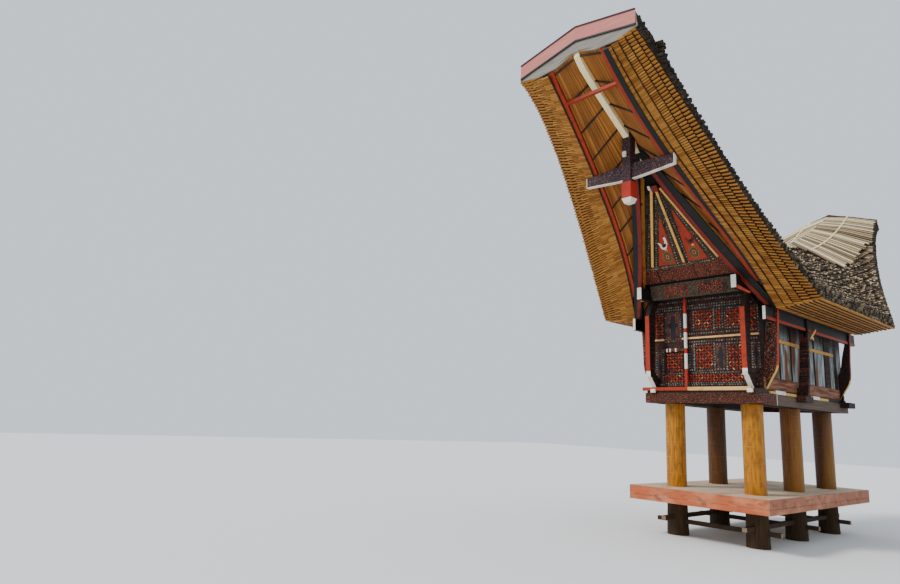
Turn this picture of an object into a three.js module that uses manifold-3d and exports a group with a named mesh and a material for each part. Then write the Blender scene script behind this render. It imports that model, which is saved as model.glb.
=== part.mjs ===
// A rice barn with a saddle-backed roof, standing on six palm trunk posts.
// Units are millimetres and +Z is up. The gable front faces -Y and the ridge runs along Y.
// The house is drawn about the centre of its post grid. Its front prow is longer than the
// rear one, so the whole group is moved along Y until the middle of its length is at y = 0.

import * as THREE from 'three';
import { mergeVertices } from 'three/addons/utils/BufferGeometryUtils.js';
import Module from 'manifold-3d';

const wasm = await Module();
wasm.setup();

// Clearance between faces that rest on each other.
const GAP = 0.3;

// Palm trunk posts in two rows of three.
const POST_RADIUS = 190;
const POST_FOOT_RADIUS = 204;
const POST_TOP = 2504;
const POST_X = 772;
const POST_ROWS = { front: -1705, middle: 0, rear: 1705 };

// Ties through the feet of the posts: the long ones lie on the cross ones.
const TIE_WIDTH = 84;
const CROSS_TIE_Z = [220, 296];
const CROSS_TIE_HALF_LENGTH = 1190;
const LONG_TIE_Z = [CROSS_TIE_Z[1] + GAP, 372];
const LONG_TIE_HALF_LENGTH = 2225;

// Sitting platform between the posts.
const PLATFORM_HALF_WIDTH = 1337;
const PLATFORM_HALF_LENGTH = 2498;
const PLATFORM_TOP = 904;
const DECK_THICKNESS = 40;
const SKIRT_THICKNESS = 30;
const SKIRT_BOTTOM = 644;
const BEARER_WIDTH = 90;
const BEARER_HEIGHT = 90;

// Sills, floor beams and floor under the raised store.
const SILL_HALF_WIDTH = 1167;
const SILL_HALF_LENGTH = 2148;
const SILL_THICKNESS = 90;
const SILL_TOP = 2700;
const FLOOR_BEAM_WIDTH = 140;
const FLOOR_HALF_WIDTH = 1140;
const FLOOR_HALF_LENGTH = 2125;
const FLOOR_TOP = 2780;

// Plank walls of the store. The end walls have sloping shoulders at the top.
const WALL_HALF_WIDTH = 1105;
const WALL_HALF_LENGTH = 2000;
const WALL_THICKNESS = 50;
const WALL_SIDE_REACH = 4700;
const END_WALL_SHOULDER = 4316;
const END_WALL_TOP = 4571;
const END_WALL_TOP_HALF_WIDTH = 941;

// Small door in the front wall, set in its opening.
const DOOR_X = [-785, -380];
const DOOR_Z = [3095, 3520];
const DOOR_THICKNESS = 36;
const DOOR_CLEARANCE = 0.5;

// Long timbers that carry the roof.
const PLATE_X = [1288, 1355];
const PLATE_Z = [3985, 4225];
const PLATE_HALF_LENGTH = 2276;
const PURLIN_X = [910, 1020];
const PURLIN_Z = [4545, 4781];
const PURLIN_HALF_LENGTH = 2634;
const RIDGE_BEAM_WIDTH = 110;
const RIDGE_BEAM_HEIGHT = 110;

// Roof: a level eave round the store, and a prow that rises past each end.
const LEVEL_HALF_LENGTH = 2040;
const EAVE_X = 2200;
const EAVE_Z = 4309;
const EAVE_HEIGHT = 260;
const EAVE_LEAN = 40;
const SOFFIT_X = 1440;
const SOFFIT_TIP_X = 590;
const SOFFIT_BANDS = 5;
const SOFFIT_STEP = 22;
const RAIL_WIDTH = 100;
const RAIL_HEIGHT = 90;
const PLATE_SEAT_WIDTH = 150;
const PLATE_SEAT_END = 1950;
const RIDGE_MIDDLE_Z = 6052;
const RIDGE_CURVE = 1.6;
const CROWN_HALF_WIDTH = 60;
const CROWN_DEPTH = 445;
const CROWN_DEPTH_LOSS_AT_TIP = 35;
const FLANK_SWELL = 35;
const FLANK_SHARES = [0.35, 0.7];

// Courses of bamboo tiles. Each course starts with a step and lies on the course below it.
const COURSES = 14;
const COURSE_LENGTH = 200;
const COURSE_STEP = 55;
const COURSE_DEPTH = 30;
const COURSE_SPREAD = 0.24;
const SHORTEST_COURSE = 12;

// Poles laid over the ridge, on top of the tiles: short ones over the store, long on the prows.
const RIDGE_POLE_SHORT = 180;
const RIDGE_POLE_LONG = 1380;
const RIDGE_POLE_SHARES = [0.2, 0.24];

const FRONT_PROW = {
  reach: 6035,
  tipX: 1212,
  eaveRise: 3761,
  soffitRise: 3755,
  ridgeRise: 2538,
  vApexZ: 7177,
  bow: 45,
  pendantDistance: 1595,
};
const REAR_PROW = {
  reach: 5545,
  tipX: 1191,
  eaveRise: 3190,
  soffitRise: 3185,
  ridgeRise: 2088,
  vApexZ: 6940,
  bow: 30,
  pendantDistance: 1300,
};

// Boards in the gable. Both lean forward by the same slope.
const GABLE_LEAN = 0.7975;
const GABLE_PANEL_THICKNESS = 40;
const GABLE_PANEL_FOOT_Y = 2040;
const V_BOARD_THICKNESS = 50;
const V_BOARD_FOOT_Y = 2034;
const V_BOARD_FOOT_Z = PLATE_Z[1] + GAP;
const V_OUTER_FOOT = 1472;
const V_INNER_FOOT = 1290;
const V_FOOT_LIMIT = 1436;
const V_APEX_DEPTH = 306;

// Leaning board between the purlin ends.
const CROSS_BOARD = { foot: [2244, 4560], head: [2329, 4850], thickness: 32 };

// Rails along the inner edge of the prow, and the bar across them.
const RAIL_START_SHARE = 0.08;
const CROSSBAR_THICKNESS = 56;
const CROSSBAR_RISE = 8;
const CROSSBAR_TENON = 10;
const CROSSBAR_DISTANCE_FROM_TIP = 490;

// Hanging post with its cross arm, under the prow.
const PENDANT_WIDTH = 165;
const PENDANT_TOP = 7300;
const PENDANT_BOTTOM = 5875;
const PENDANT_COLLAR_Z = 6260;
const PENDANT_COLLAR_WIDTH = 190;
const PENDANT_TIP_WIDTH = 130;
const PENDANT_TIP_HEIGHT = 85;
const PENDANT_DRAWN_AT = 4440;
const ARM_THICKNESS = 76;
const ARM_HALF_LENGTH = 885;
const ARM_TIP_Z = [6385, 6556];
const ARM_MIDDLE_Z = [6325, 6600];

// Boards that close the ends of the roof.
const FASCIA_THICKNESS = 28;
const FASCIA_CENTRE_DEPTH = 435;
const FASCIA_RAIL_DEPTH = 20;
const FASCIA_TIP_DROP = 8;
const FASCIA_END_INSET = 5;
const FASCIA_END_HEIGHT = 25;

// Curved brackets under the plates and the purlins.
const SIDE_BRACKET_THICKNESS = 68;
const SIDE_BRACKET_Y = { front: -1860, middle: -480, rear: 1860 };
const BRACKET_HORN_X = 1388;
const BRACKET_INNER_LEG_TOP = 4100;
const BRACKET_BLOCK = { halfLength: 190, outerX: 1340, z: [2608, 2722] };
const BRACKET_NECK = { outerX: 1190, top: 2880 };
const STRAIGHT_BRACKET_FOOT_Z = 2715;
const END_BRACKET_THICKNESS = 90;
const END_BRACKET_X = 968;

// Striped pole that stands on the edge of the floor and leans on the gable.
const POLE_RADIUS = 34;
const POLE_PLACE = [-298, -2075];
const POLE_TOP = 4571;

const postMaterial = finish(0xb0791f, 0.7);
const darkTimber = finish(0x2b1d16, 0.75);
const wallTimber = finish(0x4a2a20, 0.75);
const weatheredTimber = finish(0x8d8478, 0.85);
const pinkBoard = finish(0xc88270, 0.6);
const deckTimber = finish(0xa79c8a, 0.8);
const bracketTimber = finish(0x3a201a, 0.7);
const redTimber = finish(0xa53a20, 0.6);
const bambooRoof = finish(0x8c6f3c, 0.9);
const creamTimber = finish(0xd8bd86, 0.7);

function finish(colour, roughness) {
  return new THREE.MeshStandardMaterial({ color: colour, roughness, metalness: 0 });
}

// A box between two values on each axis.
function block([x0, x1], [y0, y1], [z0, z1]) {
  const geometry = new THREE.BoxGeometry(x1 - x0, y1 - y0, z1 - z0);
  return geometry.translate((x0 + x1) / 2, (y0 + y1) / 2, (z0 + z1) / 2);
}

// A board with its outline in X and Z, between two values of Y.
function crossPlate(outline, [y0, y1]) {
  const geometry = new THREE.ExtrudeGeometry(outline, {
    depth: y1 - y0,
    bevelEnabled: false,
    curveSegments: 4,
  });
  return geometry.rotateX(Math.PI / 2).translate(0, y1, 0);
}

// A board with its outline in Y and Z, between two values of X.
function longPlate(outline, [x0, x1]) {
  const geometry = new THREE.ExtrudeGeometry(outline, {
    depth: x1 - x0,
    bevelEnabled: false,
    curveSegments: 4,
  });
  const turn = new THREE.Matrix4().makeBasis(
    new THREE.Vector3(0, 1, 0),
    new THREE.Vector3(0, 0, 1),
    new THREE.Vector3(1, 0, 0),
  );
  return geometry.applyMatrix4(turn).translate(x0, 0, 0);
}

function outlineOf(points) {
  return new THREE.Shape(points.map(([u, v]) => new THREE.Vector2(u, v)));
}

// A closed skin through rings of points, with a flat cap on the first and the last ring.
// The cap is triangulated on the two named axes, without corners that lie on the next one.
function loft(rings, [u, v]) {
  const count = rings[0].length;
  const faces = [];
  for (let ring = 0; ring + 1 < rings.length; ring += 1) {
    for (let i = 0; i < count; i += 1) {
      const next = (i + 1) % count;
      const a = ring * count + i;
      const b = ring * count + next;
      faces.push([a, b, b + count], [a, b + count, a + count]);
    }
  }
  const capOf = (ring, direction) => {
    const isCorner = (index) => ring[index].distanceTo(ring[(index + 1) % count]) > 0;
    const corners = [...ring.keys()].filter(isCorner);
    const contour = corners.map((index) => new THREE.Vector2(ring[index][u], ring[index][v]));
    const cap = THREE.ShapeUtils.triangulateShape(contour, []);
    const capArea = cap.reduce(
      (sum, face) => sum + THREE.ShapeUtils.area(face.map((index) => contour[index])),
      0,
    );
    const agrees = Math.sign(capArea * THREE.ShapeUtils.area(contour)) === direction;
    const wound = agrees ? cap : cap.map(([a, b, c]) => [a, c, b]);
    return wound.map((face) => face.map((index) => corners[index]));
  };
  faces.push(...capOf(rings[0], -1));
  const last = (rings.length - 1) * count;
  faces.push(...capOf(rings.at(-1), 1).map((face) => face.map((index) => index + last)));
  const points = rings.flat();
  const volume = faces.reduce(
    (sum, [a, b, c]) => sum + points[a].clone().cross(points[b]).dot(points[c]),
    0,
  );
  const outward = volume > 0 ? faces : faces.map(([a, b, c]) => [a, c, b]);
  const geometry = new THREE.BufferGeometry().setFromPoints(points);
  geometry.setIndex(outward.flat());
  return geometry;
}

// A solid for joining and cutting. What is one already stays as it is.
function solid(shape) {
  if (shape instanceof wasm.Manifold) {
    return shape;
  }
  const bare = shape.clone();
  bare.deleteAttribute('normal');
  bare.deleteAttribute('uv');
  const merged = mergeVertices(bare, 0.01);
  const faces = [];
  for (let i = 0; i < merged.index.count; i += 3) {
    const face = [...merged.index.array.slice(i, i + 3)];
    if (new Set(face).size === 3) {
      faces.push(...face);
    }
  }
  return new wasm.Manifold(
    new wasm.Mesh({
      numProp: 3,
      vertProperties: merged.attributes.position.array,
      triVerts: new Uint32Array(faces),
    }),
  );
}

function geometryOf(shape) {
  if (shape instanceof THREE.BufferGeometry) {
    return shape;
  }
  const mesh = shape.getMesh();
  const geometry = new THREE.BufferGeometry();
  geometry.setAttribute('position', new THREE.BufferAttribute(mesh.vertProperties, 3));
  geometry.setIndex(new THREE.BufferAttribute(mesh.triVerts, 1));
  geometry.computeVertexNormals();
  return geometry;
}

function cut(shape, tools) {
  return tools.reduce((body, tool) => body.subtract(solid(tool)), solid(shape));
}

function join(shapes) {
  const [first, ...rest] = shapes.map(solid);
  return rest.reduce((body, other) => body.add(other), first);
}

const house = new THREE.Group();
house.position.y = (FRONT_PROW.reach - REAR_PROW.reach) / 2;

function add(name, shape, material, place = [0, 0, 0]) {
  const mesh = new THREE.Mesh(geometryOf(shape), material);
  mesh.name = name;
  mesh.position.set(...place);
  house.add(mesh);
}

const SIDES = { left: -1, right: 1 };
const ENDS = { front: -1, rear: 1 };

// The same span on the other side of zero, lowest value first.
function onSide(sign, [low, high]) {
  return sign > 0 ? [low, high] : [-high, -low];
}

function grownSpan([low, high]) {
  return [low - GAP, high + GAP];
}

// Ties, bearers and the posts that they pass through.
const crossTie = (y) => [
  [-CROSS_TIE_HALF_LENGTH, CROSS_TIE_HALF_LENGTH],
  [y - TIE_WIDTH / 2, y + TIE_WIDTH / 2],
  CROSS_TIE_Z,
];
const longTie = (sign) => [
  [sign * POST_X - TIE_WIDTH / 2, sign * POST_X + TIE_WIDTH / 2],
  [-LONG_TIE_HALF_LENGTH, LONG_TIE_HALF_LENGTH],
  LONG_TIE_Z,
];
const DECK_BOTTOM = PLATFORM_TOP - DECK_THICKNESS;
const BEARER_HALF_LENGTH = PLATFORM_HALF_LENGTH - SKIRT_THICKNESS - GAP;
const bearer = (sign) => [
  [sign * POST_X - BEARER_WIDTH / 2, sign * POST_X + BEARER_WIDTH / 2],
  [-BEARER_HALF_LENGTH, BEARER_HALF_LENGTH],
  [DECK_BOTTOM - GAP - BEARER_HEIGHT, DECK_BOTTOM - GAP],
];

for (const [row, y] of Object.entries(POST_ROWS)) {
  add(`cross_tie_${row}`, block(...crossTie(y)), darkTimber);
}
for (const [side, sign] of Object.entries(SIDES)) {
  add(`long_tie_${side}`, block(...longTie(sign)), darkTimber);
  add(`platform_bearer_${side}`, block(...bearer(sign)), darkTimber);
}

const trunk = new THREE.LatheGeometry(
  [
    [0, 0],
    [POST_FOOT_RADIUS, 0],
    [POST_FOOT_RADIUS - 4, 160],
    [POST_RADIUS, 520],
    [POST_RADIUS, POST_TOP],
    [0, POST_TOP],
  ].map(([radius, z]) => new THREE.Vector2(radius, z)),
  24,
).rotateX(Math.PI / 2);

for (const [side, sign] of Object.entries(SIDES)) {
  for (const [row, y] of Object.entries(POST_ROWS)) {
    const slots = [crossTie(y), longTie(sign), bearer(sign)];
    const cutters = slots.map(([xs, ys, zs]) =>
      block(grownSpan(xs), grownSpan(ys), grownSpan(zs)).translate(-sign * POST_X, -y, 0),
    );
    add(`post_${row}_${side}`, cut(trunk, cutters), postMaterial, [sign * POST_X, y, 0]);
  }
}

// Platform: a plank deck with a round hole at each post, and a board on each edge.
const DECK_HALF_WIDTH = PLATFORM_HALF_WIDTH - SKIRT_THICKNESS - GAP;
const DECK_HALF_LENGTH = PLATFORM_HALF_LENGTH - SKIRT_THICKNESS - GAP;
const postHoles = Object.values(SIDES).flatMap((sign) =>
  Object.values(POST_ROWS).map((y) =>
    new THREE.CylinderGeometry(POST_RADIUS + 0.6, POST_RADIUS + 0.6, 3 * DECK_THICKNESS, 24)
      .rotateX(Math.PI / 2)
      .translate(sign * POST_X, y, PLATFORM_TOP),
  ),
);
const deck = block(
  [-DECK_HALF_WIDTH, DECK_HALF_WIDTH],
  [-DECK_HALF_LENGTH, DECK_HALF_LENGTH],
  [DECK_BOTTOM, PLATFORM_TOP],
);
add('platform_deck', cut(deck, postHoles), deckTimber);
for (const [end, sign] of Object.entries(ENDS)) {
  const skirt = block(
    [-PLATFORM_HALF_WIDTH, PLATFORM_HALF_WIDTH],
    onSide(sign, [PLATFORM_HALF_LENGTH - SKIRT_THICKNESS, PLATFORM_HALF_LENGTH]),
    [SKIRT_BOTTOM, PLATFORM_TOP - 1],
  );
  add(`platform_skirt_${end}`, skirt, pinkBoard);
}
for (const [side, sign] of Object.entries(SIDES)) {
  const skirt = block(
    onSide(sign, [PLATFORM_HALF_WIDTH - SKIRT_THICKNESS, PLATFORM_HALF_WIDTH]),
    [-DECK_HALF_LENGTH, DECK_HALF_LENGTH],
    [SKIRT_BOTTOM, PLATFORM_TOP - 1],
  );
  add(`platform_skirt_${side}`, skirt, pinkBoard);
}

// Sills, floor beams and floor.
const SILL_INNER_X = SILL_HALF_WIDTH - SILL_THICKNESS;
const SILL_INNER_Y = SILL_HALF_LENGTH - SILL_THICKNESS;
const SILL_Z = [POST_TOP + GAP, SILL_TOP - GAP];
for (const [side, sign] of Object.entries(SIDES)) {
  const sill = block(
    onSide(sign, [SILL_INNER_X, SILL_HALF_WIDTH]),
    [-SILL_HALF_LENGTH, SILL_HALF_LENGTH],
    SILL_Z,
  );
  add(`sill_${side}`, sill, darkTimber);
  const beam = block(
    [sign * POST_X - FLOOR_BEAM_WIDTH / 2, sign * POST_X + FLOOR_BEAM_WIDTH / 2],
    [-SILL_INNER_Y + GAP, SILL_INNER_Y - GAP],
    SILL_Z,
  );
  add(`floor_beam_${side}`, beam, darkTimber);
}
for (const [end, sign] of Object.entries(ENDS)) {
  const sill = block(
    [-SILL_INNER_X + GAP, SILL_INNER_X - GAP],
    onSide(sign, [SILL_INNER_Y, SILL_HALF_LENGTH]),
    SILL_Z,
  );
  add(`sill_${end}`, sill, darkTimber);
}
const floor = block(
  [-FLOOR_HALF_WIDTH, FLOOR_HALF_WIDTH],
  [-FLOOR_HALF_LENGTH, FLOOR_HALF_LENGTH],
  [SILL_TOP, FLOOR_TOP],
);
add('floor', floor, darkTimber);

// The roof in cross section at one value of Y.
// Along the prow, reach runs from 0 at the end of the level eave to 1 at the tip.
function sectionAt(y) {
  const prow = y < 0 ? FRONT_PROW : REAR_PROW;
  const distance = Math.abs(y);
  const reach = Math.max(0, (distance - LEVEL_HALF_LENGTH) / (prow.reach - LEVEL_HALF_LENGTH));
  const left = 1 - Math.min(reach, 1);
  const ridge = RIDGE_MIDDLE_Z + prow.ridgeRise * (distance / prow.reach) ** RIDGE_CURVE;
  const recessed = distance > PLATE_SEAT_END;
  const seatWidth = RAIL_WIDTH + (PLATE_SEAT_WIDTH - RAIL_WIDTH) * left ** 12;
  const soffitX = SOFFIT_TIP_X + (SOFFIT_X - SOFFIT_TIP_X) * left ** 1.75;
  const soffitZ = PLATE_Z[1] + prow.soffitRise * (reach + 0.6 * reach * left ** 3);
  return {
    y,
    reach,
    ridge,
    crown: ridge - CROWN_DEPTH + CROWN_DEPTH_LOSS_AT_TIP * reach ** 3,
    eaveX: prow.tipX + (EAVE_X - prow.tipX) * left ** 1.55,
    eaveZ: EAVE_Z + prow.eaveRise * (1 - left * (1 - 0.55 * reach ** 3)),
    soffitX,
    soffitZ,
    seatX: soffitX - seatWidth,
    seatZ: soffitZ + (recessed ? RAIL_HEIGHT : 0),
  };
}

// Y of the roof end at a distance from the middle: the tips reach further than the ridge.
function endLine(sign, x) {
  const prow = sign < 0 ? FRONT_PROW : REAR_PROW;
  return sign * (prow.reach - prow.bow * (1 - Math.abs(x) / prow.tipX));
}

const LEVEL_STATIONS = [0, 650, 1300, PLATE_SEAT_END, PLATE_SEAT_END + 15, LEVEL_HALF_LENGTH];
const PROW_SHARES = [
  0.015,
  0.04,
  0.08,
  0.12,
  0.16,
  ...RIDGE_POLE_SHARES,
  0.29,
  0.34,
  0.39,
  0.44,
  0.5,
  0.56,
  0.62,
  0.68,
  0.74,
  0.8,
  0.87,
  0.94,
];
const FASCIA_SEAT = FASCIA_THICKNESS + GAP;

function stationsOf(sign) {
  const { reach } = sign < 0 ? FRONT_PROW : REAR_PROW;
  const prowLength = reach - LEVEL_HALF_LENGTH;
  const prowStations = PROW_SHARES.map((share) => LEVEL_HALF_LENGTH + share * prowLength);
  return [...LEVEL_STATIONS, ...prowStations].map((distance) => sign * distance);
}

// All rings from the front tip to the rear tip. The end rings follow the given end line.
function ringsAlongRoof(ringAt, lineAt) {
  const front = stationsOf(ENDS.front).reverse();
  const rear = stationsOf(ENDS.rear).slice(1);
  const endRing = (sign) => {
    const { reach } = sign < 0 ? FRONT_PROW : REAR_PROW;
    return ringAt(sectionAt(sign * reach)).map(
      ({ x, z }) => new THREE.Vector3(x, lineAt(sign, x) - sign * FASCIA_SEAT, z),
    );
  };
  const middle = [...front, ...rear].map((y) => ringAt(sectionAt(y)));
  return [endRing(ENDS.front), ...middle, endRing(ENDS.rear)];
}

function slopeOf({ ridge, eaveX, eaveZ }) {
  const across = eaveX - EAVE_LEAN;
  const fall = ridge - eaveZ - EAVE_HEIGHT;
  return { across, fall, length: Math.hypot(across, fall) };
}

// The covering in cross section, from below the ridge down to the top of the eave.
function coveringLine(section) {
  const { across, fall, length } = slopeOf(section);
  const [poleStart, poleEnd] = RIDGE_POLE_SHARES;
  const along = THREE.MathUtils.clamp((section.reach - poleStart) / (poleEnd - poleStart), 0, 1);
  const poleLength = THREE.MathUtils.lerp(RIDGE_POLE_SHORT, RIDGE_POLE_LONG, along);
  const edge = Math.max(0, length - poleLength);

  const pastLevel = Math.max(0, Math.abs(section.y) - LEVEL_HALF_LENGTH);
  const levelEnd = sectionAt(Math.sign(section.y) * LEVEL_HALF_LENGTH);
  const firstCourse =
    pastLevel > 0 ? length - slopeOf(levelEnd).length - COURSE_SPREAD * pastLevel : 0;

  const at = (fromEave, depth) => {
    const share = 1 - fromEave / length;
    const swell = Math.min(share / FLANK_SHARES[0], 1, (1 - share) / (1 - FLANK_SHARES[1]));
    return [
      across * share - (depth * fall) / length,
      section.ridge - fall * share + FLANK_SWELL * swell - (depth * across) / length,
    ];
  };
  const onTiles = (fromEave) => {
    const upCourse = THREE.MathUtils.euclideanModulo(fromEave - firstCourse, COURSE_LENGTH);
    const depth = COURSE_DEPTH + (COURSE_STEP * upCourse) / COURSE_LENGTH;
    return at(fromEave, edge > 0 ? depth : 0);
  };

  const line = [at((edge + length) / 2, 0), at(edge, 0), onTiles(edge)];
  for (let course = COURSES - 1; course >= 0; course -= 1) {
    const start = firstCourse + course * COURSE_LENGTH;
    if (start > edge - SHORTEST_COURSE) {
      line.push(onTiles(edge), onTiles(edge));
    } else if (start < SHORTEST_COURSE) {
      line.push(onTiles(0), onTiles(0));
    } else {
      line.push(at(start, COURSE_DEPTH), at(start, COURSE_DEPTH + COURSE_STEP));
    }
  }
  return [...line, onTiles(0)];
}

// One half of the roof: covering on top, stepped bands under the eave, lining inside.
function roofRing(section, sign, lowered) {
  const { y, ridge, crown, eaveX, eaveZ, soffitX, soffitZ, seatX, seatZ } = section;
  const bandWidth = (eaveX - soffitX) / SOFFIT_BANDS;
  const bandRise = (eaveZ - soffitZ - SOFFIT_STEP * (SOFFIT_BANDS - 1)) / SOFFIT_BANDS;
  const bands = [];
  for (let band = SOFFIT_BANDS - 1; band >= 0; band -= 1) {
    const innerX = soffitX + band * bandWidth;
    const innerZ = soffitZ + band * (bandRise + SOFFIT_STEP);
    bands.push([innerX + bandWidth, innerZ + bandRise], [innerX, innerZ]);
  }
  const middleX = lowered > 0 ? -GAP : GAP / 2;
  const outline = [
    [middleX, ridge],
    ...coveringLine(section),
    ...bands,
    [soffitX - 2, seatZ],
    [seatX, seatZ],
    [CROWN_HALF_WIDTH, crown],
    [middleX, crown],
  ];
  return outline.map(([x, z]) => new THREE.Vector3(sign * x, y, z - lowered));
}

function roofHalf(sign, lowered = 0) {
  const rings = ringsAlongRoof((section) => roofRing(section, sign, lowered), endLine);
  return loft(rings, ['x', 'z']);
}

// The same solids, lowered by a little and closed over the middle, cut what ends under the roof.
const ROOF_CLEARANCE = 0.6;
const roofClearance = [
  roofHalf(SIDES.left, ROOF_CLEARANCE),
  roofHalf(SIDES.right, ROOF_CLEARANCE),
].map(solid);

const purlin = (sign, grow = 0) =>
  block(
    onSide(sign, [PURLIN_X[0] - grow, PURLIN_X[1] + grow]),
    [-PURLIN_HALF_LENGTH - grow, PURLIN_HALF_LENGTH + grow],
    [PURLIN_Z[0] - grow, PURLIN_Z[1] + grow],
  );

// Ridge beam: a pole that follows the crown of the lining from tip to tip.
function ridgeBeamRing({ y, crown }, grow) {
  const half = RIDGE_BEAM_WIDTH / 2 + grow;
  const top = crown - 2 * GAP + 2 * grow;
  const bottom = crown - 2 * GAP - RIDGE_BEAM_HEIGHT - grow;
  return [
    [-half, bottom],
    [half, bottom],
    [half, top],
    [-half, top],
  ].map(([x, z]) => new THREE.Vector3(x, y, z));
}
function ridgeBeam(grow = 0) {
  const rings = ringsAlongRoof(
    (section) => ridgeBeamRing(section, grow),
    (sign) => endLine(sign, 0),
  );
  return loft(rings, ['x', 'z']);
}

for (const [side, sign] of Object.entries(SIDES)) {
  add(`roof_${side}`, cut(roofHalf(sign), [purlin(sign, GAP)]), bambooRoof);
  add(`purlin_${side}`, purlin(sign), darkTimber);
  const plate = block(
    onSide(sign, PLATE_X),
    [-PLATE_HALF_LENGTH, PLATE_HALF_LENGTH],
    [PLATE_Z[0], PLATE_Z[1] - GAP],
  );
  add(`eave_plate_${side}`, plate, darkTimber);
}
add('ridge_beam', cut(ridgeBeam(), roofClearance), creamTimber);

// Walls. The side walls run up to the lining between the end walls.
const WALL_BOTTOM = FLOOR_TOP + GAP;
const WALL_INNER_X = WALL_HALF_WIDTH - WALL_THICKNESS;
const WALL_INNER_Y = WALL_HALF_LENGTH - WALL_THICKNESS;
for (const [side, sign] of Object.entries(SIDES)) {
  const wall = block(
    onSide(sign, [WALL_INNER_X, WALL_HALF_WIDTH]),
    [-WALL_INNER_Y + GAP, WALL_INNER_Y - GAP],
    [WALL_BOTTOM, WALL_SIDE_REACH],
  );
  add(`wall_${side}`, cut(wall, roofClearance), weatheredTimber);
}
const endWallOutline = outlineOf([
  [-WALL_HALF_WIDTH, WALL_BOTTOM],
  [WALL_HALF_WIDTH, WALL_BOTTOM],
  [WALL_HALF_WIDTH, END_WALL_SHOULDER],
  [END_WALL_TOP_HALF_WIDTH, END_WALL_TOP],
  [-END_WALL_TOP_HALF_WIDTH, END_WALL_TOP],
  [-WALL_HALF_WIDTH, END_WALL_SHOULDER],
]);
const doorway = block(
  [DOOR_X[0] - DOOR_CLEARANCE, DOOR_X[1] + DOOR_CLEARANCE],
  [-WALL_HALF_LENGTH - WALL_THICKNESS, -WALL_INNER_Y + WALL_THICKNESS],
  [DOOR_Z[0] - DOOR_CLEARANCE, DOOR_Z[1] + DOOR_CLEARANCE],
);
const bothPurlins = [purlin(SIDES.left, GAP), purlin(SIDES.right, GAP)];
for (const [end, sign] of Object.entries(ENDS)) {
  const wall = crossPlate(endWallOutline, onSide(sign, [WALL_INNER_Y, WALL_HALF_LENGTH]));
  const cutters = end === 'front' ? [...bothPurlins, doorway] : bothPurlins;
  add(`wall_${end}`, cut(wall, cutters), wallTimber);
}
const DOOR_BACK = -WALL_INNER_Y - (WALL_THICKNESS - DOOR_THICKNESS) / 2;
const door = block(DOOR_X, [DOOR_BACK - DOOR_THICKNESS, DOOR_BACK], DOOR_Z);
add('upper_door', door, bracketTimber);

// A board that leans out over the end of the house, outlined in X and Z.
// Its front face passes through foot = [distance from the middle, height].
function leaningBoard(outline, sign, [footY, footZ], lean, thickness) {
  const depth = thickness * Math.hypot(1, lean);
  const board = crossPlate(outline, sign > 0 ? [-depth, 0] : [0, depth]);
  const shear = new THREE.Matrix4().makeShear(0, 0, 0, 0, 0, sign * lean);
  return board.applyMatrix4(shear).translate(0, sign * (footY - footZ * lean), 0);
}

function vFrame(sign, { vApexZ }) {
  const innerApexZ = vApexZ - V_APEX_DEPTH;
  const narrowing = (vApexZ - V_BOARD_FOOT_Z) / V_OUTER_FOOT;
  const cornerZ = V_BOARD_FOOT_Z + (V_OUTER_FOOT - V_FOOT_LIMIT) * narrowing;
  const outline = outlineOf([
    [-V_FOOT_LIMIT, V_BOARD_FOOT_Z],
    [-V_FOOT_LIMIT, cornerZ],
    [0, vApexZ],
    [V_FOOT_LIMIT, cornerZ],
    [V_FOOT_LIMIT, V_BOARD_FOOT_Z],
    [V_INNER_FOOT, V_BOARD_FOOT_Z],
    [0, innerApexZ],
    [-V_INNER_FOOT, V_BOARD_FOOT_Z],
  ]);
  return leaningBoard(
    outline,
    sign,
    [V_BOARD_FOOT_Y, V_BOARD_FOOT_Z],
    GABLE_LEAN,
    V_BOARD_THICKNESS,
  );
}

// Rail: a square timber in the recess along the inner edge of the prow.
function rail(sign, side) {
  const prow = sign < 0 ? FRONT_PROW : REAR_PROW;
  const shares = [...PROW_SHARES.filter((share) => share >= RAIL_START_SHARE), 1];
  const rings = shares.map((share) => {
    const distance = LEVEL_HALF_LENGTH + share * (prow.reach - LEVEL_HALF_LENGTH);
    const { soffitX, soffitZ, seatX, seatZ } = sectionAt(sign * distance);
    const outerX = soffitX - 2 - GAP;
    const innerX = seatX + GAP;
    return [
      [innerX, soffitZ],
      [outerX, soffitZ],
      [outerX, seatZ - ROOF_CLEARANCE],
      [innerX, seatZ - ROOF_CLEARANCE],
    ].map(([x, z]) => {
      const y = share < 1 ? sign * distance : endLine(sign, x) - sign * FASCIA_SEAT;
      return new THREE.Vector3(side * x, y, z);
    });
  });
  return loft(rings, ['x', 'z']);
}

function prowFrame(sign) {
  const prow = sign < 0 ? FRONT_PROW : REAR_PROW;
  const y = sign * (prow.reach - CROSSBAR_DISTANCE_FROM_TIP);
  const { seatX, soffitZ } = sectionAt(y);
  const half = CROSSBAR_THICKNESS / 2;
  const bar = block(
    [-seatX - CROSSBAR_TENON, seatX + CROSSBAR_TENON],
    [y - half, y + half],
    [soffitZ + CROSSBAR_RISE, soffitZ + CROSSBAR_RISE + CROSSBAR_THICKNESS],
  );
  const vClearance = [-GAP, GAP].flatMap((shift) => [
    vFrame(sign, prow).translate(shift, 0, 0),
    vFrame(sign, prow).translate(0, 2 * shift, 0),
  ]);
  const rails = Object.values(SIDES).map((side) => rail(sign, side));
  return cut(join([...rails, bar]), [...vClearance, ...roofClearance]);
}

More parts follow.
